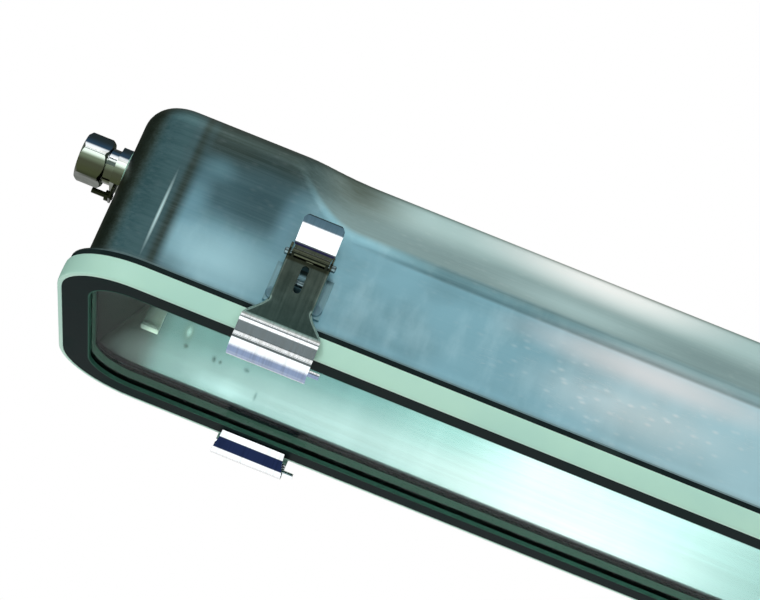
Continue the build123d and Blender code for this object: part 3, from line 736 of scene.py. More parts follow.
@dataclass(frozen=True)
class DarkMoulding:
    """Dark rubber or plastic: near black, with dusty patches, a fine grain and a painted highlight along its
    inside.
    """

    name: str = "black_rubber"
    tone: Colour = (0.012, 0.020, 0.020)
    dust: Colour = (0.06, 0.085, 0.075)
    roughness: float = 0.45
    duller: float = 0.2
    dust_share: float = 0.35
    ior: float = 1.03
    # Painted highlight along the inner edge.
    inner_highlight: Colour = (0.012, 0.020, 0.020)
    inner_highlight_run: Range = (27.2 * MM, 26.0 * MM)
    pore_depth: float = 0.06 * MM

    def build(self) -> bpy.types.Material:
        """Make the material.

        Returns:
            The material.
        """
        sheet = MaterialSheet(self.name)
        patches = CLOUDS(sheet, sheet.place, Scale=32.0, Low=0.45, High=0.8)
        tone = sheet.mix(self.tone, self.dust, patches, self.dust_share)
        # Painted highlight along the inner edge.
        tone = sheet.mix(tone, self.inner_highlight, sheet.limit(OUTLINE(sheet, sheet.place), *self.inner_highlight_run))
        rough = sheet.spread(patches, 0.0, 1.0, self.roughness, self.roughness + self.duller)
        pores = sheet.noise(sheet.place, scale=900.0, detail=2.0)
        return sheet.close(tone, rough, pores, self.pore_depth, IOR=self.ior)


@dataclass(frozen=True)
class ClearLens:
    """Clear sheet with a faint green tint and light smears."""

    name: str = "clear_lens"
    tint: Colour = (0.95, 0.985, 0.975)
    smear_roughness: float = 0.04
    ior: float = 1.03

    def build(self) -> bpy.types.Material:
        """Make the material.

        Returns:
            The material.
        """
        sheet = MaterialSheet(self.name)
        smears = CLOUDS(sheet, sheet.stretched(sheet.place, (1.0, 3.0, 1.0)), Scale=18.0, Low=0.45, High=0.8)
        rough = sheet.spread(smears, 0.0, 1.0, 0.0, self.smear_roughness)
        return sheet.close(self.tint, rough, Transmission_Weight=1.0, IOR=self.ior)


@dataclass(frozen=True)
class RolledReflector:
    """Bright rolled sheet of the gear tray, with painted shade at its ends, painted light brightest a third
    of the way in, and spots of painted glare and shadow.
    """

    name: str = "rolled_reflector"
    light: Colour = (0.95, 1.0, 0.99)
    dull: Colour = (0.10, 0.14, 0.12)
    # Painted light and shade along the tray: near black at its ends, brightest a third of the way in.
    painted_light_along: Stops = (
        (-0.622, (0.005, 0.010, 0.006)), (-0.594, (0.012, 0.022, 0.014)), (-0.578, (0.12, 0.24, 0.22)),
        (-0.470, (0.15, 0.31, 0.30)), (-0.410, (0.32, 0.56, 0.52)), (-0.345, (0.74, 0.95, 0.93)),
        (-0.290, (0.62, 0.86, 0.83)), (-0.180, (0.32, 0.52, 0.48)),
    )
    # Painted glare and painted light on the middle and the far slope, the strap tab's own pale tone, a
    # painted shadow beside it, and small dark marks.
    spots: tuple[ToneSpot, ...] = (
        ToneSpot((-0.330, -0.02, -0.066), (0.060, 0.045, 0.02), (1.0, 1.0, 1.0), 0.9),
        ToneSpot((-0.450, 0.00, -0.066), (0.030, 0.030, 0.02), (0.45, 0.72, 0.68), 0.5),
        ToneSpot((-0.538, 0.074, -0.092), (0.030, 0.008, 0.008), (0.50, 0.78, 0.76), 0.6),
        ToneSpot((-0.420, 0.074, -0.088), (0.240, 0.026, 0.03), (0.50, 0.66, 0.63), 0.85),
        ToneSpot((-0.330, 0.074, -0.088), (0.110, 0.026, 0.03), (0.90, 1.0, 0.98), 0.85),
        ToneSpot((-0.581, 0.0, -0.100), (0.012, 0.016, 0.024), (0.60, 0.78, 0.62), 1.0),
        ToneSpot((-0.573, 0.0, -0.066), (0.004, 0.030, 0.006), (0.005, 0.01, 0.008), 0.9),
        ToneSpot((-0.570, 0.060, -0.0735), (0.0048, 0.02, 0.0075), (0.12, 0.20, 0.16), 0.9),
        ToneSpot((-0.570, 0.060, -0.0730), (0.0026, 0.02, 0.0040), (0.34, 0.56, 0.50), 0.9),
        ToneSpot((-0.569, 0.062, -0.0800), (0.0024, 0.02, 0.0020), (0.05, 0.09, 0.07), 0.9),
        ToneSpot((-0.551, 0.066, -0.0809), (0.0020, 0.02, 0.0024), (0.05, 0.10, 0.09), 0.9),
        ToneSpot((-0.547, 0.066, -0.0812), (0.0016, 0.02, 0.0016), (0.05, 0.10, 0.09), 0.9),
        ToneSpot((-0.531, 0.065, -0.0800), (0.0030, 0.02, 0.0018), (0.06, 0.13, 0.12), 0.8),
        ToneSpot((-0.521, 0.073, -0.0905), (0.0014, 0.02, 0.0040), (0.10, 0.20, 0.18), 0.7),
    )
    sheen_share: float = 0.25
    dull_share: float = 0.12
    roughness: Range = (0.34, 0.46)
    wave_depth: float = 0.06 * MM
    mirror_tint: Colour = (0.4, 0.45, 0.43)

    def build(self) -> bpy.types.Material:
        """Make the material.

        Returns:
            The material.
        """
        sheet = MaterialSheet(self.name)
        x, y, z = sheet.split(sheet.place)
        x = sheet.folded(x)
        folded = sheet.add("CombineXYZ", X=x, Y=y, Z=z).outputs[0]
        sheen = CLOUDS(sheet, sheet.stretched(sheet.place, (3.2, 0.6, 0.6)), Scale=14.0, Low=0.4, High=0.72)
        patches = CLOUDS(sheet, sheet.place, Scale=7.0, Low=0.35, High=0.7)
        lines = sheet.spread(GRAIN(sheet, sheet.place, Fineness=0.5), *GRAIN_CONTRAST)
        # Painted light and shade along the tray, then painted glare and shadow in spots.
        tone = sheet.ramp(x, self.painted_light_along)
        for spot in self.spots:
            tone = spot.lay(sheet, folded, tone)
        tone = sheet.mix(tone, self.light, sheen, self.sheen_share, blend="SOFT_LIGHT")
        tone = sheet.mix(tone, self.dull, lines, self.dull_share)
        rough = sheet.spread(patches, 0.0, 1.0, *self.roughness)
        return sheet.close(tone, rough, sheen, self.wave_depth, Metallic=0.25, IOR=1.15,
                           Specular_Tint=self.mirror_tint)


@dataclass(frozen=True)
class MouldedPlastic:
    """Plain moulded or coated plastic with slight tone changes."""

    name: str = "moulded_plastic"
    tone: Colour = (0.80, 0.81, 0.78)
    shade: Colour = (0.68, 0.69, 0.65)
    roughness: float = 0.42
    duller: float = 0.12
    speck_share: float = 0.3
    pore_depth: float = 0.04 * MM

    def build(self) -> bpy.types.Material:
        """Make the material.

        Returns:
            The material.
        """
        sheet = MaterialSheet(self.name)
        patches = CLOUDS(sheet, sheet.place, Scale=40.0, Low=0.35, High=0.75)
        specks = SPECKS(sheet, sheet.place, Scale=700.0, Amount=0.4)
        tone = sheet.mix(self.tone, self.shade, patches)
        tone = sheet.mix(tone, self.shade, specks, self.speck_share)
        rough = sheet.spread(patches, 0.0, 1.0, self.roughness, self.roughness + self.duller)
        return sheet.close(tone, rough, sheet.noise(sheet.place, scale=700.0, detail=2.0), self.pore_depth)


class Finishes:
    """All finishes of the light, made once and found by the name of their slot."""

    def __init__(self) -> None:
        """Make every material."""
        # Painted reflections and shade of the plated gland by height: dark above, a painted white highlight
        # along the middle, dark olive below, near black at the bonding screw and lug.
        plate_reflection_stops = (
            (-0.0600, (0.012, 0.014, 0.006)), (-0.0500, (0.010, 0.012, 0.006)),
            (-0.0465, (0.040, 0.046, 0.022)), (-0.0425, (0.045, 0.050, 0.030)),
            (-0.0395, (0.12, 0.15, 0.10)), (-0.0375, (0.70, 0.80, 0.70)), (-0.0350, (1.0, 1.0, 1.0)),
            (-0.0335, (0.90, 0.95, 1.0)), (-0.0320, (0.02, 0.05, 0.09)), (-0.0270, (0.012, 0.022, 0.026)),
            (-0.0160, (0.006, 0.010, 0.010)),
        )
        kinds = {
            STEEL_SLOT: DrawnSteel(),
            "steel_latch": PaintedReflectionSteel(),
            "steel_pin": BrightSteel("pin_steel", (0.20, 0.28, 0.30), (0.10, 0.14, 0.14), 0.2),
            "rivet_steel": BrightSteel("rivet_steel", (0.24, 0.40, 0.47), (0.16, 0.28, 0.32), 0.4),
            # The frame's lip and inner side carry painted shade.
            "frame_pale": SatinPaint(painted_shade_inside=41.4 * MM),
            "black_rubber": DarkMoulding(),
            # Seal and retainer carry a painted greenish highlight along their inner edge.
            "seal_rubber": DarkMoulding("seal_rubber", (0.010, 0.017, 0.016), inner_highlight=(0.055, 0.115, 0.085)),
            "retainer_black": DarkMoulding("retainer_moulding", (0.009, 0.017, 0.017), (0.02, 0.04, 0.035),
                                           0.3, inner_highlight=(0.05, 0.14, 0.10)),
            "lens_clear": ClearLens(),
            "tray_bright": RolledReflector(),
            "board_white": MouldedPlastic("board_mask", (0.84, 0.86, 0.85), (0.78, 0.80, 0.79), 0.35),
            "driver_case": SatinPaint("case_paint", (0.80, 0.82, 0.81), (0.72, 0.74, 0.73), 0.4),
            "terminal_plastic": MouldedPlastic(),
            "lead_cover": MouldedPlastic("lead_cover", (0.03, 0.03, 0.03), (0.06, 0.06, 0.06), 0.5),
            "gland_metal": PaintedReflectionSteel("nickel_plate", stops=plate_reflection_stops, bands=(), streak_share=0.0,
                                        wave_depth=0.8 * MM),
            "gland_washer_pale": MouldedPlastic("pale_washer", (0.44, 0.72, 0.56), (0.36, 0.62, 0.48), 0.5),
            "zinc_screw": BrightSteel("zinc_plate", (0.62, 0.62, 0.55), (0.40, 0.38, 0.30), 0.22, 0.08 * MM),
        }
        self.by_slot = {slot: kind.build() for slot, kind in kinds.items()}

    def dress(self, piece: bpy.types.Object, slot: str) -> None:
        """Give a piece the finish of a slot."""
        piece.data.materials.clear()
        piece.data.materials.append(self.by_slot[slot])

    def dress_nodes(self, slot: str, *nodes: str) -> None:
        """Give CAD nodes the finish of a slot."""
        for node in nodes:
            self.dress(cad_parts[node], slot)

    def keep(self, piece: bpy.types.Object, body: str, slot: str, *nodes: str) -> None:
        """Dress a piece, let it ride on its body and hide the nodes that it stands for.

        Args:
            piece: The piece.
            body: Body that it rides on.
            slot: Slot of its finish.
            nodes: CAD nodes that it replaces.
        """
        self.dress(piece, slot)
        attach(piece, body)
        if nodes:
            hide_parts(*nodes)
        LOG.info("piece %s on %s", piece.name, body)

    def soften(self, node: str, body: str, slot: str, width: float) -> None:
        """Keep a copy of a CAD node with its sharp edges rounded, which stands for the node.

        Args:
            node: Name of the CAD node.
            body: Body that it rides on.
            slot: Slot of its finish.
            width: Width of the rounding in metres.
        """
        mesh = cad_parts[node].data.copy()
        mesh.name = f"{node}_rounded"
        if "custom_normal" in mesh.attributes:
            mesh.attributes.remove(mesh.attributes["custom_normal"])
        finish_mesh(mesh, SHARP_ANGLE, flat_turn=FLAT_ANGLE)
        piece = link(f"{node}_rounded", mesh)
        bevel = piece.modifiers.new("edge_rounding", "BEVEL")
        bevel.width = width
        bevel.segments = 2
        bevel.limit_method = "ANGLE"
        bevel.angle_limit = math.radians(BEVEL_ANGLE)
        bevel.harden_normals = True
        self.keep(piece, body, slot, node)


@dataclass(frozen=True)
class RoundOutline:
    """Rounded rectangle seen from above, sampled at matching stations whatever its size."""

    length: float
    width: float
    corner: float
    corner_steps: int = 14
    end_steps: int = 10

    def stations(self, runs: np.ndarray) -> tuple[np.ndarray, np.ndarray]:
        """Points round the outline and the way out at each.

        Each quarter circle has its middle one corner radius inside both sides. Between two quarters the
        points lie on the straight run, at the given shares of it.

        Args:
            runs: Shares along a long side, rising from above 0 to below 1.

        Returns:
            Points (n, 2) and outward directions (n, 2), in metres.
        """
        half = np.array([self.length, self.width]) / 2 - self.corner
        turn = np.linspace(0.0, math.pi / 2, self.corner_steps)
        short = np.linspace(0.0, 1.0, self.end_steps + 2)[1:-1]
        points, ways = [], []
        signs = ((1, 1), (-1, 1), (-1, -1), (1, -1))
        for quarter, sign in enumerate(signs):
            angle = turn + quarter * math.pi / 2
            way = np.stack([np.cos(angle), np.sin(angle)], 1)
            middle = half * np.array(sign)
            points.append(middle + self.corner * way)
            ways.append(way)
            following = half * np.array(signs[(quarter + 1) % 4])
            start = middle + self.corner * way[-1]
            end = following + self.corner * way[-1]
            share = (runs if quarter % 2 == 0 else short)[:, None]
            points.append(start + share * (end - start))
            ways.append(np.repeat(way[-1:], len(share), 0))
        return np.concatenate(points), np.concatenate(ways)


def link(name: str, data: bpy.types.ID) -> bpy.types.Object:
    """Put data into the scene as a new object.

    Args:
        name: Name of the object.
        data: Mesh, camera or light.

    Returns:
        The object.
    """
    item = bpy.data.objects.new(name, data)
    bpy.context.scene.collection.objects.link(item)
    return item


def lifted(flat: np.ndarray, height: np.ndarray | float) -> np.ndarray:
    """Points (..., 3) from plan points (..., 2) and the heights that go with them."""
    return np.concatenate([flat, np.broadcast_to(height, (*flat.shape[:-1], 1))], -1)


def capped(view: np.ndarray) -> np.ndarray:
    """Closed view (n, 2) four times over: drawn in to its middle, twice in full and drawn in again."""
    heart = np.broadcast_to(view.mean(0), view.shape)
    return np.stack([heart, view, view, heart])


def grid_piece(name: str, points: np.ndarray, smooth_angle: float = 40.0,
               closed_rows: bool = False) -> bpy.types.Object:
    """Mesh object from a grid of points that closes on itself along its second axis.

    Vertex (i, j) joins (i + 1, j) and (i, j + 1) in one four sided face. Doubles are merged, so that rows
    which shrink to a line or a point close there.

    Args:
        name: Name of the piece.
        points: Array (rows, stations, 3) in metres.
        smooth_angle: Edges sharper than this many degrees stay sharp.
        closed_rows: Whether the last row joins the first.

    Returns:
        The object, with faces that point outwards.
    """
    rows, stations = points.shape[:2]
    index = np.arange(rows * stations).reshape(rows, stations)
    right = np.roll(index, -1, 1)
    below = np.roll(index, -1, 0)
    corner = np.roll(right, -1, 0)
    faces = np.stack([index, right, corner, below], -1)
    faces = (faces if closed_rows else faces[:-1]).reshape(-1, 4)
    mesh = bpy.data.meshes.new(name)
    mesh.from_pydata(points.reshape(-1, 3), [], faces)
    finish_mesh(mesh, smooth_angle)
    return link(name, mesh)


def finish_mesh(mesh: bpy.types.Mesh, smooth_angle: float, flat_turn: float = 0.0) -> None:
    """Merge doubles, turn the faces outwards and shade smoothly up to an angle.

    Args:
        mesh: Mesh to finish.
        smooth_angle: Edges sharper than this many degrees stay sharp.
        flat_turn: Faces that turn less than this many degrees become one, if above 0.
    """
    work = bmesh.new()
    work.from_mesh(mesh)
    bmesh.ops.remove_doubles(work, verts=work.verts, dist=MERGE_REACH)
    bmesh.ops.dissolve_degenerate(work, edges=work.edges, dist=MERGE_REACH)
    if flat_turn > 0:
        limit = math.radians(flat_turn)
        bmesh.ops.dissolve_limit(work, angle_limit=limit, verts=work.verts, edges=work.edges)
    bmesh.ops.recalc_face_normals(work, faces=work.faces)
    work.to_mesh(mesh)
    work.free()
    mesh.polygons.foreach_set("use_smooth", np.ones(len(mesh.polygons), bool))
    mesh.set_sharp_from_angle(angle=math.radians(smooth_angle))
    mesh.update()


def drill(piece: bpy.types.Object, holes: list[tuple[Vector, Vector, float, float]], sides: int = 40) -> None:
    """Cut round holes through a piece and apply the cut.

    Args:
        piece: Closed mesh.
        holes: Start, direction, radius and depth of each hole, in metres.
        sides: Sides of each hole.
    """
    work = bmesh.new()
    for start, way, radius, depth in holes:
        turn = way.to_track_quat("Z", "Y").to_matrix().to_4x4()
        place = Matrix.Translation(start + way.normalized() * depth / 2) @ turn
        bmesh.ops.create_cone(work, cap_ends=True, segments=sides, radius1=radius, radius2=radius,
                              depth=depth, matrix=place)
    mesh = bpy.data.meshes.new("holes")
    work.to_mesh(mesh)
    work.free()
    cut_away(piece, link("holes", mesh))


def cut_away(piece: bpy.types.Object, cutter: bpy.types.Object) -> None:
    """Cut one closed mesh out of another, apply the cut and remove the cutter.

    Args:
        piece: Mesh that is cut.
        cutter: Mesh that cuts.
    """
    cut = piece.modifiers.new("holes", "BOOLEAN")
    cut.operation = "DIFFERENCE"
    cut.solver = "EXACT"
    cut.object = cutter
    bpy.context.view_layer.update()
    result = bpy.data.meshes.new_from_object(piece.evaluated_get(bpy.context.evaluated_depsgraph_get()))
    piece.modifiers.clear()
    piece.data = result
    bpy.data.objects.remove(cutter)


def bent_line(points: np.ndarray, radii: np.ndarray, steps: int = 9) -> np.ndarray:
    """Open line with a circular bend at each inner corner.

    A bend starts on the side before its corner, at radius times the tangent of half the turn from it. Its
    points lie on the circle that touches both sides.

    Args:
        points: Corners in order.
        radii: Radius at each inner corner.
        steps: Points on each bend.

    Returns:
        Array (n, 2) of points.
    """
    line = [points[:1]]
    for before, corner, after, radius in zip(points, points[1:], points[2:], radii):
        way_in = (corner - before) / np.linalg.norm(corner - before)
        way_out = (after - corner) / np.linalg.norm(after - corner)
        turn = math.acos(float(np.clip(way_in @ way_out, -1.0, 1.0)))
        inward = (way_out - way_in * math.cos(turn)) / math.sin(turn)
        share = np.linspace(0.0, turn, steps)[:, None]
        start = corner - way_in * radius * math.tan(turn / 2)
        line.append(start + radius * (np.sin(share) * way_in + (1 - np.cos(share)) * inward))
    line.append(points[-1:])
    return np.concatenate(line)


def ease(value: np.ndarray, low: float, high: float) -> np.ndarray:
    """Smooth rise from 0 at the low end to 1 at the high end: 3 t squared less 2 t cubed.

    Args:
        value: Values.
        low: Where the rise starts.
        high: Where it ends.

    Returns:
        Shares from 0 to 1.
    """
    share = np.clip((value - low) / (high - low), 0.0, 1.0)
    return share * share * (3 - 2 * share)


def ring_profile(piece_name: str, outline: RoundOutline, profile: np.ndarray,
                 runs: np.ndarray) -> bpy.types.Object:
    """Closed ring: a cross section carried along a rounded rectangle.

    A point is the outline's point, moved along the way out by the section's first value and lifted to its
    second value.

    Args:
        piece_name: Name of the piece.
        outline: Path of the ring.
        profile: Closed cross section (n, 2): place outwards from the path and height, in metres.
        runs: Shares along a long side.

    Returns:
        The ring.
    """
    points, ways = outline.stations(runs)
    flat = points[None, :, :] + profile[:, None, 0:1] * ways[None, :, :]
    return grid_piece(piece_name, lifted(flat, profile[:, None, 1:2]), SHARP_ANGLE, closed_rows=True)


def round_corners(corners: np.ndarray, radii: np.ndarray, steps: int = 6) -> np.ndarray:
    """Closed outline with its corners rounded.

    Each corner becomes a quadratic curve that starts and ends one radius from it on its two sides, less
    where a side is shorter than two radii.

    Args:
        corners: Corners in order.
        radii: Radius at each corner.
        steps: Points on each rounded corner.

    Returns:
        Array (n, 2) of points round the outline.
    """
    before = np.roll(corners, 1, 0) - corners
    after = np.roll(corners, -1, 0) - corners
    reach_before = np.linalg.norm(before, axis=1)
    reach_after = np.linalg.norm(after, axis=1)
    cut = np.minimum(radii, 0.49 * np.minimum(reach_before, reach_after))
    start = corners + before / reach_before[:, None] * cut[:, None]
    end = corners + after / reach_after[:, None] * cut[:, None]
    share = np.linspace(0.0, 1.0, steps)[None, :, None]
    curve = (1 - share) ** 2 * start[:, None] + 2 * share * (1 - share) * corners[:, None]
    return (curve + share ** 2 * end[:, None]).reshape(-1, 2)


def in_metres(points: tuple, radii: tuple[float, ...]) -> tuple[np.ndarray, np.ndarray]:
    """Points and radii in metres, from millimetres."""
    return np.array(points) * MM, np.array(radii) * MM


@dataclass
class DrawnHousing:
    """The drawn pan: walls, round corners, sloped shoulders that sweep out of the walls, and the rim."""

    finishes: Finishes
    body: str = "housing_body"
    sheet: float = 1.0 * MM
    rim_under: float = -98.0 * MM
    pan: RoundOutline = RoundOutline(1250.0 * MM, 170.0 * MM, 25.0 * MM)
    rim: RoundOutline = RoundOutline(1267.0 * MM, 187.0 * MM, 43.5 * MM)
    top_corner: float = 15.0 * MM
    rim_fillet: float = 3.0 * MM
    shoulder_drop: float = 39.0 * MM
    shoulder_slope: float = math.radians(22.8)
    shoulder_end: float = 493.0 * MM
    sweep_radius: float = 77.0 * MM
    sweep_before: float = 6.0 * MM
    sweep_past: float = 62.0 * MM
    sweep_step: float = 1.6 * MM
    crease_blend: float = 1.8 * MM
    brow_blend: float = 4.5 * MM
    eye_inset: float = 24.0 * MM
    eye_depth: float = 60.0 * MM
    brow_rise: Range = (0.35, 0.85)
    search_reach: float = 1.6
    search_steps: int = 40
    hanger_place: float = 450.0 * MM
    hanger_radius: float = 4.25 * MM
    gland_place: Range = (-42.0 * MM, -36.0 * MM)
    gland_radius: float = 8.2 * MM
    overrun: float = 5.0 * MM
    roof_depth: float = 0.05 * MM
    smooth_angle: float = 50.0

    def long_runs(self) -> np.ndarray:
        """Shares along a long side, close together where the shoulder sweeps out of the wall.

        Returns:
            Rising shares between 0 and 1.
        """
        straight = self.pan.length / 2 - self.pan.corner
        low, high = self.shoulder_end - self.sweep_before, self.shoulder_end + self.sweep_past
        dense = np.arange(low, high, self.sweep_step)
        plain = np.linspace(-low, low, 42)[1:-1]
        outer = np.linspace(high, straight, 6)[1:-1]
        places = np.concatenate([-outer[::-1], -dense[::-1], plain, dense, outer])
        return (places + straight) / (2 * straight)

    def shoulder_height(self, x: np.ndarray, y: np.ndarray) -> np.ndarray:
        """Height of the shoulder surface over a place.

        The slope rises with the distance to the crease. Past the straight part the crease bends out of the
        wall along a circle, so the distance is taken from the middle of that circle.

        Args:
            x: Places along the light.
            y: Places across it.

        Returns:
            Heights in metres.
        """
        past = np.maximum(np.abs(x) - self.shoulder_end, 0.0)
        across = self.pan.width / 2 + self.sweep_radius - np.abs(y)
        reach = np.hypot(past, across)
        return -self.shoulder_drop + (reach - self.sweep_radius) / math.tan(self.shoulder_slope)

    def ray_lengths(self, angle: np.ndarray) -> np.ndarray:
        """Length of a ray from the eye point to the plain pan, by its angle above level.

        The section is a box with a quarter circle at the top: the ray meets the wall, the circle or the roof.

        Args:
            angle: Angles above level.

        Returns:
            Lengths in metres.
        """
        way = np.stack([np.cos(angle), np.sin(angle)], -1)
        middle = np.array([self.eye_inset - self.top_corner, self.eye_depth - self.top_corner])
        along = way @ middle
        on_circle = along + np.sqrt(np.maximum(along ** 2 - middle @ middle + self.top_corner ** 2, 0.0))
        wall = self.eye_inset / np.maximum(way[:, 0], 1e-9)
        roof = self.eye_depth / np.maximum(way[:, 1], 1e-9)
        on_wall = wall * way[:, 1] <= middle[1]
        on_roof = roof * way[:, 0] <= middle[0]
        return np.where(on_wall, wall, np.where(on_roof, roof, on_circle))

    def outer_rows(self, points: np.ndarray, ways: np.ndarray) -> np.ndarray:
        """Outer surface from the foot of the wall to the flat roof.

        Every station has rays in its own upright section. A ray ends at the nearer of the plain pan and the
        shoulder, and the two lengths are blended over a short distance so that the crease is round.

        Args:
            points: Stations of the pan outline.
            ways: Way out at each station.

        Returns:
            Array (rows, stations, 3) in metres.
        """
        arc = np.linspace(0.0, math.pi / 2, 22)
        top = self.top_corner
        wall_z = np.linspace(-self.eye_depth, -top, 34)[:-1]
        flat_run = np.linspace(top, self.eye_inset, 9)[1:]
        inset = np.concatenate([np.zeros(len(wall_z)), top * (1 - np.cos(arc)), flat_run])
        level = np.concatenate([wall_z, -top + top * np.sin(arc), np.zeros(len(flat_run))])
        angle = np.arctan2(level + self.eye_depth, self.eye_inset - inset)
        plain = self.ray_lengths(angle)
        eye = points - ways * self.eye_inset

        def at(reach: np.ndarray) -> tuple[np.ndarray, np.ndarray]:
            """Plan places and heights at a distance along each ray."""
            flat = eye[None] + (reach * np.cos(angle)[:, None])[..., None] * ways[None]
            return flat, -self.eye_depth + reach * np.sin(angle)[:, None]

        near = np.zeros((len(angle), len(points)))
        far = np.broadcast_to(plain[:, None] * self.search_reach, near.shape).copy()
        for _ in range(self.search_steps):
            middle = (near + far) / 2
            flat, height = at(middle)
            inside = height < self.shoulder_height(flat[..., 0], flat[..., 1])
            near = np.where(inside, middle, near)
            far = np.where(inside, far, middle)
        base = np.broadcast_to(plain[:, None], near.shape)
        low, high = self.brow_rise
        rise = np.clip((angle / (math.pi / 2) - low) / (high - low), 0.0, 1.0)[:, None]
        blend = self.crease_blend + (self.brow_blend - self.crease_blend) * rise
        meet = np.maximum(blend - np.abs(base - near), 0.0) / blend
        reach = np.minimum(base, near) - meet ** 2 * blend / 4
        flat, height = at(reach)
        rays = lifted(flat, height[..., None])
        low = np.linspace(self.rim_under + self.sheet + self.rim_fillet, -self.eye_depth, 7)[:-1, None, None]
        return np.concatenate([lifted(np.broadcast_to(points, (len(low), *points.shape)), low), rays])

    def rim_rows(self, points: np.ndarray, ways: np.ndarray) -> np.ndarray:
        """Top of the rim, from its outer edge to the fillet at the foot of the wall.

        Args:
            points: Stations of the pan outline.
            ways: Way out at each station.

        Returns:
            Array (rows, stations, 3) in metres.
        """
        edge, edge_ways = self.rim.stations(self.long_runs())
        top = self.rim_under + self.sheet
        round_edge = self.sheet / 3
        turn = np.linspace(0.0, math.pi / 2, 5)[:, None, None]
        out, up = (round_edge * (1 - wave(turn)) for wave in (np.cos, np.sin))
        lip = lifted(edge - edge_ways * out, top - up)
        sweep = np.linspace(0.0, math.pi / 2, 6)[:-1][:, None, None]
        out, up = (self.rim_fillet * (1 - wave(sweep)) for wave in (np.sin, np.cos))
        fillet = lifted(points + ways * out, top + up)
        return np.concatenate([lip, fillet])

    def roof_rows(self, last: np.ndarray, steps: int = 5) -> np.ndarray:
        """Flat roof, drawn in from its outer row to the middle line.

        Args:
            last: Row that the roof starts from.
            steps: Rows to make.

        Returns:
            Array (rows, stations, 3) in metres.
        """
        spine_reach = self.pan.length / 2 - self.pan.width / 2
        spine = np.stack([np.clip(last[:, 0], -spine_reach, spine_reach), 0 * last[:, 1], last[:, 2]], -1)
        share = np.linspace(0.0, 1.0, steps + 1)[1:, None, None]
        return last[None] * (1 - share) + spine[None] * share

    def inner_rows(self, outer: np.ndarray) -> np.ndarray:
        """Inner surface: the outer one moved in by the thickness of the sheet, along its normal.

        The normal is the cross product of the differences along the rows and along the stations.

        Args:
            outer: Outer rows from the wall's foot to the middle line.

        Returns:
            Array (rows, stations, 3) in metres, in the opposite order.
        """
        up = np.gradient(outer, axis=0)
        round_it = np.roll(outer, -1, 1) - np.roll(outer, 1, 1)
        normal = np.cross(round_it, up)
        size = np.linalg.norm(normal, axis=-1, keepdims=True)
        normal = np.where(size > 1e-12, normal / np.maximum(size, 1e-12), np.array([0.0, 0.0, 1.0]))
        flat = outer[..., 2:3] > -self.roof_depth
        normal = np.where(flat, np.array([0.0, 0.0, 1.0]), normal)
        return (outer - normal * self.sheet)[::-1]

    def build(self) -> None:
        """Make the housing."""
        runs = self.long_runs()
        points, ways = self.pan.stations(runs)
        outer = self.outer_rows(points, ways)
        outer = np.concatenate([outer, self.roof_rows(outer[-1])])
        rim = self.rim_rows(points, ways)
        inner = self.inner_rows(outer)
        foot = inner[-1:].copy()
        foot[..., 2] = self.rim_under
        under = rim[:1].copy()
        under[..., 2] = self.rim_under
        rows = np.concatenate([outer[::-1], rim[::-1], under, foot, inner[::-1]])
        piece = grid_piece("drawn_housing", rows, self.smooth_angle)
        up, depth = Vector((0, 0, 1)), 2 * self.overrun
        holes = [
            (Vector((end * self.hanger_place, 0, -self.overrun)), up, self.hanger_radius, depth)
            for end in (-1, 1)
        ]
        gland = Vector((-self.pan.length / 2 - self.overrun, *self.gland_place))
        holes.append((gland, Vector((1, 0, 0)), self.gland_radius, depth))
        drill(piece, holes)
        finish_mesh(piece.data, self.smooth_angle)
        self.finishes.keep(piece, self.body, STEEL_SLOT, "housing")


@dataclass
class Door:
    """Door frame, black retainer, lens and seals, which drop together."""

    finishes: Finishes
    body: str = "door_body"
    path: RoundOutline = RoundOutline(1270.0 * MM, 190.0 * MM, 45.0 * MM)
    bottom: float = -113.5 * MM
    height: float = 12.5 * MM
    wall: float = 3.0 * MM
    lip: float = 19.0 * MM
    lip_sheet: float = 2.0 * MM
    crown: float = 0.25 * MM
    bends: tuple[float, ...] = (0.5, 1.3, 5.0, 1.3, 0.5, 0.5, 1.5)

    def build(self) -> None:
        """Make the door's pieces."""
        runs = np.linspace(0.0, 1.0, 90)[1:-1]
        low, top = self.bottom, self.bottom + self.height
        corners = [
            (-self.wall, low), (-self.crown, low), (0.0, low + self.height / 2), (-self.crown, top),
            (-self.lip, top), (-self.lip, top - self.lip_sheet), (-self.wall, top - self.lip_sheet),
        ]
        section = round_corners(np.array(corners), np.array(self.bends) * MM)
        band = ring_profile("door_frame", self.path, section, runs)
        self.finishes.keep(band, self.body, "frame_pale", "lens_frame")
        self.finishes.dress_nodes("retainer_black", "lens_retainer")
        self.finishes.dress_nodes("lens_clear", "lens")
        self.finishes.dress_nodes("seal_rubber", "lens_seal")


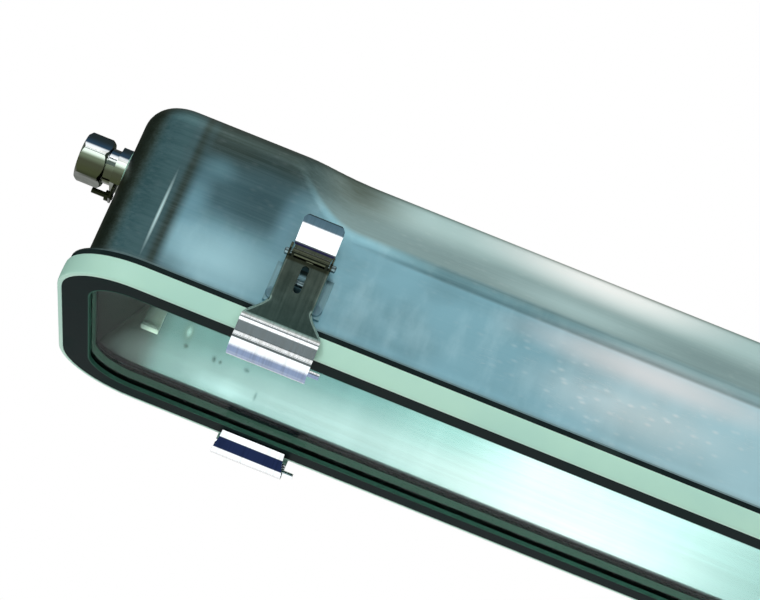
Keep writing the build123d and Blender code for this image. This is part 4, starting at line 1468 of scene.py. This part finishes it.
@dataclass(frozen=True)
class HookPlate:
    """Pull plate of a latch: slotted web with rolled edges, flare, rolled foot, lip and ears for the pin.

    Places in its side view are the distance out from the side of the door and the height over its underside.
    """

    door_side: float = 95.0 * MM
    door_bottom: float = -113.5 * MM
    sheet: float = 1.2 * MM
    line: tuple[Range, ...] = (
        (4.6, 46.1), (2.4, 8.6), (4.4, 6.2), (3.5, 3.9), (2.0, -2.6), (2.9, -4.4), (2.75, -6.2),
        (-0.8, -11.9), (-8.5, -12.5), (-13.0, -0.75),
    )
    bends: tuple[float, ...] = (1.0, 1.2, 1.2, 0.8, 0.7, 0.7, 1.6, 4.0)
    web_half: float = 12.3 * MM
    foot_half: float = 22.0 * MM
    flare: Range = (7.0 * MM, 22.5 * MM)
    edge_roll: float = 1.9 * MM
    roll_fade: Range = (9.0 * MM, 17.0 * MM)
    lip_taper: float = 2.6 * MM
    lip_run: float = 16.0 * MM
    row_step: float = 0.6 * MM
    ear: tuple[Range, ...] = (
        (4.0, 47.0), (1.86, 23.0), (0.66, 23.0), (-4.64, 29.5), (-4.9, 47.0), (-4.9, 54.9), (4.9, 54.9),
        (4.9, 50.0),
    )
    ear_bends: tuple[float, ...] = (0.5, 0.5, 0.5, 3.0, 3.0, 4.8, 4.8, 1.5)
    pin: Range = (0.0, 50.0)
    pin_radius: float = 2.06 * MM
    pin_half: float = 20.0 * MM
    slot_half: float = 2.0 * MM
    slot_levels: Range = (30.3 * MM, 42.0 * MM)
    slot_cut: Range = (-2.0 * MM, 9.0 * MM)
    rod: Range = (-1.0, -8.2)
    rod_radius: float = 1.8 * MM
    rod_overhang: float = 6.0 * MM
    rod_inset: float = 1.0 * MM
    smooth_angle: float = 35.0

    def to_room(self, along: np.ndarray, out: np.ndarray, level: np.ndarray, side: Side) -> np.ndarray:
        """Points in the shared frame from places in the side view.

        Args:
            along: Places along the light.
            out: Distances out from the side of the door.
            level: Heights over its underside.
            side: Side of the light.

        Returns:
            Points (..., 3) in metres.
        """
        places = np.broadcast_arrays(along, side.value * (self.door_side + out), self.door_bottom + level)
        return np.stack(places, -1)

    def plate(self, middle: float, side: Side) -> np.ndarray:
        """Web, foot and lip: a closed loop round the sheet at every row of the side view.

        The half width eases from the web to the foot over the flare and draws in again at the lip. Near the
        edges of the web the sheet falls back along a quarter circle.

        Args:
            middle: Place of the latch along the light.
            side: Side of the light.

        Returns:
            Array (rows, stations, 3) in metres.
        """
        bent = bent_line(*in_metres(self.line, self.bends))
        run = np.concatenate([[0.0], np.cumsum(np.linalg.norm(np.diff(bent, axis=0), axis=1))])
        place = np.linspace(0.0, run[-1], int(run[-1] / self.row_step))
        out, level = np.interp(place, run, bent[:, 0]), np.interp(place, run, bent[:, 1])
        way = np.stack([np.gradient(out), np.gradient(level)], -1)
        way /= np.linalg.norm(way, axis=1, keepdims=True)
        half = self.web_half + (self.foot_half - self.web_half) * (1 - ease(level, *self.flare))
        half = half - self.lip_taper * ease(place, run[-1] - self.lip_run, run[-1])
        edge = np.sin(np.linspace(0.0, math.pi / 2, 9))
        share = 1 - self.edge_roll / self.web_half * (1 - edge)
        across = np.concatenate([-share[::-1], np.linspace(-share[0], share[0], 14)[1:-1], share])
        along = half[:, None] * across[None]
        past = np.maximum(np.abs(along) - (half[:, None] - self.edge_roll), 0.0)
        fall = self.edge_roll - np.sqrt(np.maximum(self.edge_roll ** 2 - past ** 2, 0.0))
        fall *= ease(level, *self.roll_fade)[:, None]
        loops = []
        for offset, order in ((self.sheet / 2, 1), (-self.sheet / 2, -1), (0.0, 1), (0.0, -1)):
            loop = self.to_room(middle + along, (out - way[:, 1] * offset)[:, None] - fall,
                                (level + way[:, 0] * offset)[:, None], side)
            loops.append(loop[:, ::order])
        body = np.concatenate(loops[:2], 1)
        ends = np.concatenate(loops[2:], 1)
        return np.concatenate([ends[:1], body, ends[-1:]])

    def bar(self, profile: np.ndarray, low: float, high: float, side: Side) -> np.ndarray:
        """Bar along the light with a closed side view, and its two ends filled to their middle.

        Args:
            profile: Closed side view (n, 2).
            low: Place of one end.
            high: Place of the other.
            side: Side of the light.

        Returns:
            Array (4, n, 3) in metres.
        """
        views = capped(profile)
        return self.to_room(np.repeat((low, high), 2)[:, None], views[..., 0], views[..., 1], side)

    def build(self, name: str, middle: float, side: Side) -> bpy.types.Object:
        """Make one hook plate.

        Args:
            name: Name of the latch.
            middle: Its place along the light.
            side: Its side of the light.

        Returns:
            The hook plate.
        """
        piece = grid_piece(f"{name}_hook", self.plate(middle, side), self.smooth_angle)
        self.cut_slot(piece, middle, side)
        ear = round_corners(*in_metres(self.ear, self.ear_bends))
        turn = np.linspace(0.0, 2 * math.pi, 33)[:-1]
        rod = np.array(self.rod) * MM + self.rod_radius * np.stack([np.cos(turn), np.sin(turn)], -1)
        inner = self.web_half - self.sheet
        bars = []
        pin = Vector(self.to_room(middle - self.pin_half, *(np.array(self.pin) * MM), side))
        for low, high in ((-self.web_half, -inner), (inner, self.web_half)):
            bar = grid_piece("ear", self.bar(ear, middle + low, middle + high, side), self.smooth_angle)
            drill(bar, [(pin, Vector((1, 0, 0)), self.pin_radius, 2 * self.pin_half)])
            bars.append(bar)
        start, end = middle - self.foot_half + self.rod_inset, middle + self.foot_half + self.rod_overhang
        bars.append(grid_piece("rod", self.bar(rod, start, end, side), self.smooth_angle))
        self.join(piece, bars)
        finish_mesh(piece.data, self.smooth_angle)
        return piece

    def cut_slot(self, piece: bpy.types.Object, middle: float, side: Side) -> None:
        """Cut the upright slot with round ends through the web.

        Args:
            piece: The hook plate.
            middle: Place of the latch along the light.
            side: Side of the light.
        """
        turn = np.linspace(0.0, math.pi, 17)
        low, high = self.slot_levels
        along = self.slot_half * np.concatenate([np.cos(turn), -np.cos(turn)])
        level = np.concatenate([high + self.slot_half * np.sin(turn), low - self.slot_half * np.sin(turn)])
        views = capped(np.stack([along, level], -1))
        out = np.repeat(self.slot_cut, 2)[:, None]
        cut_away(piece, grid_piece("slot", self.to_room(middle + views[..., 0], out, views[..., 1], side)))

    @staticmethod
    def join(piece: bpy.types.Object, others: list[bpy.types.Object]) -> None:
        """Take other objects' shells into the piece.

        Args:
            piece: Object that keeps the shells.
            others: Objects that give theirs and go.
        """
        work = bmesh.new()
        for item in (piece, *others):
            work.from_mesh(item.data)
        work.to_mesh(piece.data)
        work.free()
        for item in others:
            bpy.data.objects.remove(item)


@dataclass
class Latches:
    """The six draw latches with their brackets, pins and rivets."""

    finishes: Finishes
    per_side: int = 3
    spacing: float = 512.0 * MM
    rounding: float = 0.35 * MM
    hook: HookPlate = HookPlate()

    def build(self) -> None:
        """Make the latches."""
        finishes = self.finishes
        for side in Side:
            for number in range(1, self.per_side + 1):
                name = f"{side.name.lower()}_latch_{number}"
                finishes.soften(f"{name}_lever", f"{name}_lever_body", "steel_latch", self.rounding)
                piece = self.hook.build(name, (number - 2) * self.spacing, side)
                finishes.keep(piece, f"{name}_hook_body", "steel_latch", f"{name}_hook_plate")
                finishes.dress_nodes("steel_pin", f"{name}_link_pin")
        finishes.soften("latch_brackets", "housing_body", "steel_latch", self.rounding)
        finishes.dress_nodes("steel_pin", "latch_pivot_pins")
        finishes.dress_nodes("rivet_steel", "latch_rivets")


@dataclass
class GearTray:
    """Reflector tray with sloped sides over the light sources, and what it carries."""

    finishes: Finishes
    body: str = "housing_body"
    low: RoundOutline = RoundOutline(1244.0 * MM, 164.0 * MM, 22.0 * MM)
    high: RoundOutline = RoundOutline(1188.0 * MM, 108.0 * MM, 8.0 * MM)
    rim_z: float = -97.6 * MM
    top_z: float = -65.0 * MM
    sheet: float = 0.8 * MM
    bend_share: float = 0.22
    bend_reach: float = 1.1
    flange_out: float = 0.18
    flange_up: float = 0.03
    spine_half: float = 540.0 * MM
    carried: tuple[tuple[str, ...], ...] = (
        ("tray_bright", "tray_straps"),
        ("board_white", "light_boards"),
        ("driver_case", "led_driver"),
        ("zinc_screw", "driver_screws", "ground_stud", "ground_nut", "hanger_nuts"),
        ("terminal_plastic", "terminal_block"),
        ("lead_cover", "supply_leads", "board_leads"),
        ("black_rubber", "tray_grommet", "housing_gasket"),
    )

    def build(self) -> None:
        """Make the tray and dress what it carries.

        The rim turns out into a short flange, then the side slopes straight and bends over into the roof.
        """
        runs = np.linspace(0.0, 1.0, 120)[1:-1]
        low, high = self.low.stations(runs)[0], self.high.stations(runs)[0]
        start = 1.0 - self.bend_share
        bend = np.linspace(0.0, 1.0, 9)[1:]
        turned = (1 - bend) ** 2 * start + 2 * bend * (1 - bend)
        out, up = (
            np.concatenate([[0.0], np.linspace(first, start, 12), turned + bend ** 2 * last])[:, None, None]
            for first, last in ((self.flange_out, self.bend_reach), (self.flange_up, 1.0))
        )
        flat = low + out * (high - low)
        rows = lifted(flat, self.rim_z + up * (self.top_z - self.rim_z))
        spine = np.stack([np.clip(high[:, 0], -self.spine_half, self.spine_half), 0 * high[:, 1]], -1)
        share = np.linspace(0.0, 1.0, 5)[1:, None, None]
        roof = lifted(flat[-1] * (1 - share) + spine * share, self.top_z)
        piece = grid_piece("reflector_tray", np.concatenate([rows, roof]), 35.0)
        wall = piece.modifiers.new("sheet", "SOLIDIFY")
        wall.thickness = self.sheet
        wall.offset = -1.0
        self.finishes.keep(piece, self.body, "tray_bright", "gear_tray", "tray_reflector")
        for slot, *nodes in self.carried:
            self.finishes.dress_nodes(slot, *nodes)


@dataclass
class CableGland:
    """Metal cable gland on the end wall, with its bonding lug and screw."""

    finishes: Finishes
    rounding: float = 0.4 * MM
    fine_rounding: float = 0.2 * MM

    def build(self) -> None:
        """Make the gland."""
        for node, body, slot, width in (
            ("gland_body", "housing_body", "gland_metal", self.rounding),
            ("gland_cap_nut", "gland_cap_body", "gland_metal", self.rounding),
            ("gland_locknut", "housing_body", "gland_metal", self.rounding),
            ("bonding_lug", "housing_body", "gland_metal", self.fine_rounding),
            ("bonding_screw", "housing_body", "gland_metal", self.fine_rounding),
            ("gland_washer", "housing_body", "gland_washer_pale", self.fine_rounding),
        ):
            self.finishes.soften(node, body, slot, width)
        self.finishes.dress_nodes("black_rubber", "gland_seal")


@dataclass(frozen=True)
class PhotoCamera:
    """Camera that sees the light as the photograph does: from below the gland end, rolled over."""

    place: Triple = (-0.4289, -1.3948, -0.5587)
    looks: Triple = (-0.01073, 0.94169, 0.33632)
    right: Triple = (0.92791, -0.11596, 0.35431)
    focal_pixels: float = 2648.9
    axis_pixel: Range = (410.0, 360.0)

    def build(self) -> None:
        """Make the camera and give it to the scene."""
        data = bpy.data.cameras.new("photo_camera")
        data.sensor_width = SENSOR
        data.sensor_fit = "HORIZONTAL"
        data.lens = self.focal_pixels * SENSOR / PHOTO_WIDTH
        data.shift_x = (PHOTO_WIDTH / 2 - self.axis_pixel[0]) / PHOTO_WIDTH
        data.shift_y = (self.axis_pixel[1] - PHOTO_HEIGHT / 2) / PHOTO_WIDTH
        data.clip_start = 0.01
        back = -Vector(self.looks).normalized()
        right = Vector(self.right)
        right = (right - back * right.dot(back)).normalized()
        up = back.cross(right)
        turn = Matrix((right, up, back)).transposed().to_4x4()
        camera = link("photo_camera", data)
        camera.matrix_world = Matrix.Translation(Vector(self.place)) @ turn
        bpy.context.scene.camera = camera


@dataclass(frozen=True)
class SoftBox:
    """One square lamp of the studio, which metal doesn't mirror."""

    name: str
    place: Triple
    target: Triple
    size: float
    watts: float
    tone: Colour = WHITE

    def build(self) -> None:
        """Make the lamp."""
        data = bpy.data.lights.new(self.name, "AREA")
        data.shape = "SQUARE"
        data.size = self.size
        data.energy = self.watts
        data.color = self.tone
        lamp = link(self.name, data)
        lamp.visible_glossy = False
        turn = (Vector(self.target) - Vector(self.place)).to_track_quat("-Z", "Y").to_matrix().to_4x4()
        lamp.matrix_world = Matrix.Translation(Vector(self.place)) @ turn


@dataclass(frozen=True)
class Studio:
    """Pale floor far under the hanging light, soft lamps and a room that metal mirrors in bands."""

    floor_z: float = -2.5
    floor_half: float = 9.0
    floor_tone: Colour = (0.86, 0.88, 0.87)
    floor_roughness: float = 0.8
    floor_seen: float = 0.6
    ambient: Colour = (0.80, 0.92, 0.95)
    ambient_strength: float = 0.40
    front_side: Range = (0.15, -0.30)
    front_bands: Stops = (
        (-1.0, (1.0, 1.0, 1.0)), (-0.24, (0.9, 0.9, 0.9)), (-0.19, (0.20, 0.24, 0.25)),
        (0.05, (0.12, 0.15, 0.15)),
        (0.12, (0.12, 0.145, 0.14)), (0.24, (0.12, 0.145, 0.14)), (0.31, (1.10, 1.14, 1.16)),
        (0.44, (1.05, 1.10, 1.12)), (0.52, (0.05, 0.08, 0.085)), (0.615, (0.04, 0.07, 0.075)),
        (0.645, (2.2, 2.2, 2.2)), (0.72, (0.90, 0.92, 0.91)), (1.0, (1.05, 1.07, 1.05)),
    )
    back_bands: Stops = (
        (-1.0, (1.0, 1.0, 1.0)), (-0.02, (1.0, 1.0, 1.0)), (0.10, (0.06, 0.08, 0.06)),
        (0.55, (0.05, 0.06, 0.045)), (1.0, (0.35, 0.38, 0.35)),
    )
    lamps: tuple[SoftBox, ...] = field(default_factory=lambda: (
        SoftBox("front_lamp", (-1.5, -1.6, 0.5), (-0.45, -0.05, -0.06), 0.9, 12.0, (0.86, 0.95, 1.0)),
        SoftBox("low_lamp", (-0.6, -0.9, -1.6), (-0.4, 0.0, -0.1), 1.0, 9.0),
        SoftBox("top_lamp", (0.1, -0.5, 1.2), (-0.2, 0.0, 0.0), 0.9, 9.0),
    ))

    def build(self) -> None:
        """Make the floor, the room and the lamps."""
        self.build_floor()
        self.build_room()
        for lamp in self.lamps:
            lamp.build()
        bpy.context.scene.view_settings.view_transform = "Standard"

    def build_floor(self) -> None:
        """Make the pale floor, which looks paler in the picture and brighter still in metal."""
        half = self.floor_half
        mesh = bpy.data.meshes.new("pale_floor")
        plan = ((-half, -half), (half, -half), (half, half), (-half, half))
        corners = [(*corner, self.floor_z) for corner in plan]
        mesh.from_pydata(corners, [], [(0, 1, 2, 3)])
        floor = link("pale_floor", mesh)
        sheet = MaterialSheet("pale_floor")
        path = sheet.add("LightPath").outputs
        straight = sheet.math("MAXIMUM", path["Is Camera Ray"], path["Is Transmission Ray"])
        seen = sheet.math("MAXIMUM", sheet.times(straight, self.floor_seen), path["Is Glossy Ray"])
        mesh.materials.append(sheet.close(self.floor_tone, self.floor_roughness, Emission_Color=WHITE,
                                          Emission_Strength=seen))

    def build_room(self) -> None:
        """Make the room: white to the camera, while metal mirrors its bands in front and its dark top."""
        world = bpy.data.worlds.new("studio_room")
        bpy.context.scene.world = world
        world.use_nodes = True
        sheet = NodeSheet(world.node_tree)
        _, ahead, height = sheet.split(sheet.add("TexCoord").outputs["Generated"])
        path = sheet.add("LightPath").outputs
        bands = [sheet.ramp(height, stops) for stops in (self.back_bands, self.front_bands)]
        room = sheet.mix(*bands, sheet.limit(ahead, *self.front_side))
        tone = sheet.mix(WHITE, room, path["Is Glossy Ray"])
        rays = [path[f"Is {kind} Ray"] for kind in ("Camera", "Glossy", "Transmission")]
        seen = sheet.math("MAXIMUM", *rays)
        plain = sheet.add("Background", Color=self.ambient, Strength=self.ambient_strength)
        shown = sheet.add("Background", Color=tone, Strength=1.0)
        both = sheet.add("MixShader")
        sheet.feed(both, {0: seen, 1: plain.outputs[0], 2: shown.outputs[0]})
        sheet.feed(sheet.add("OutputWorld"), {"Surface": both.outputs[0]})


def main() -> None:
    """Build the camera, the studio and every piece of the light."""
    logging.basicConfig(level=logging.INFO, format="%(name)s: %(message)s")
    PhotoCamera().build()
    Studio().build()
    finishes = Finishes()
    for kind in (DrawnHousing, Door, Latches, GearTray, CableGland):
        kind(finishes).build()
        LOG.info("built %s", kind.__name__)


if __name__ == "__main__":
    main()
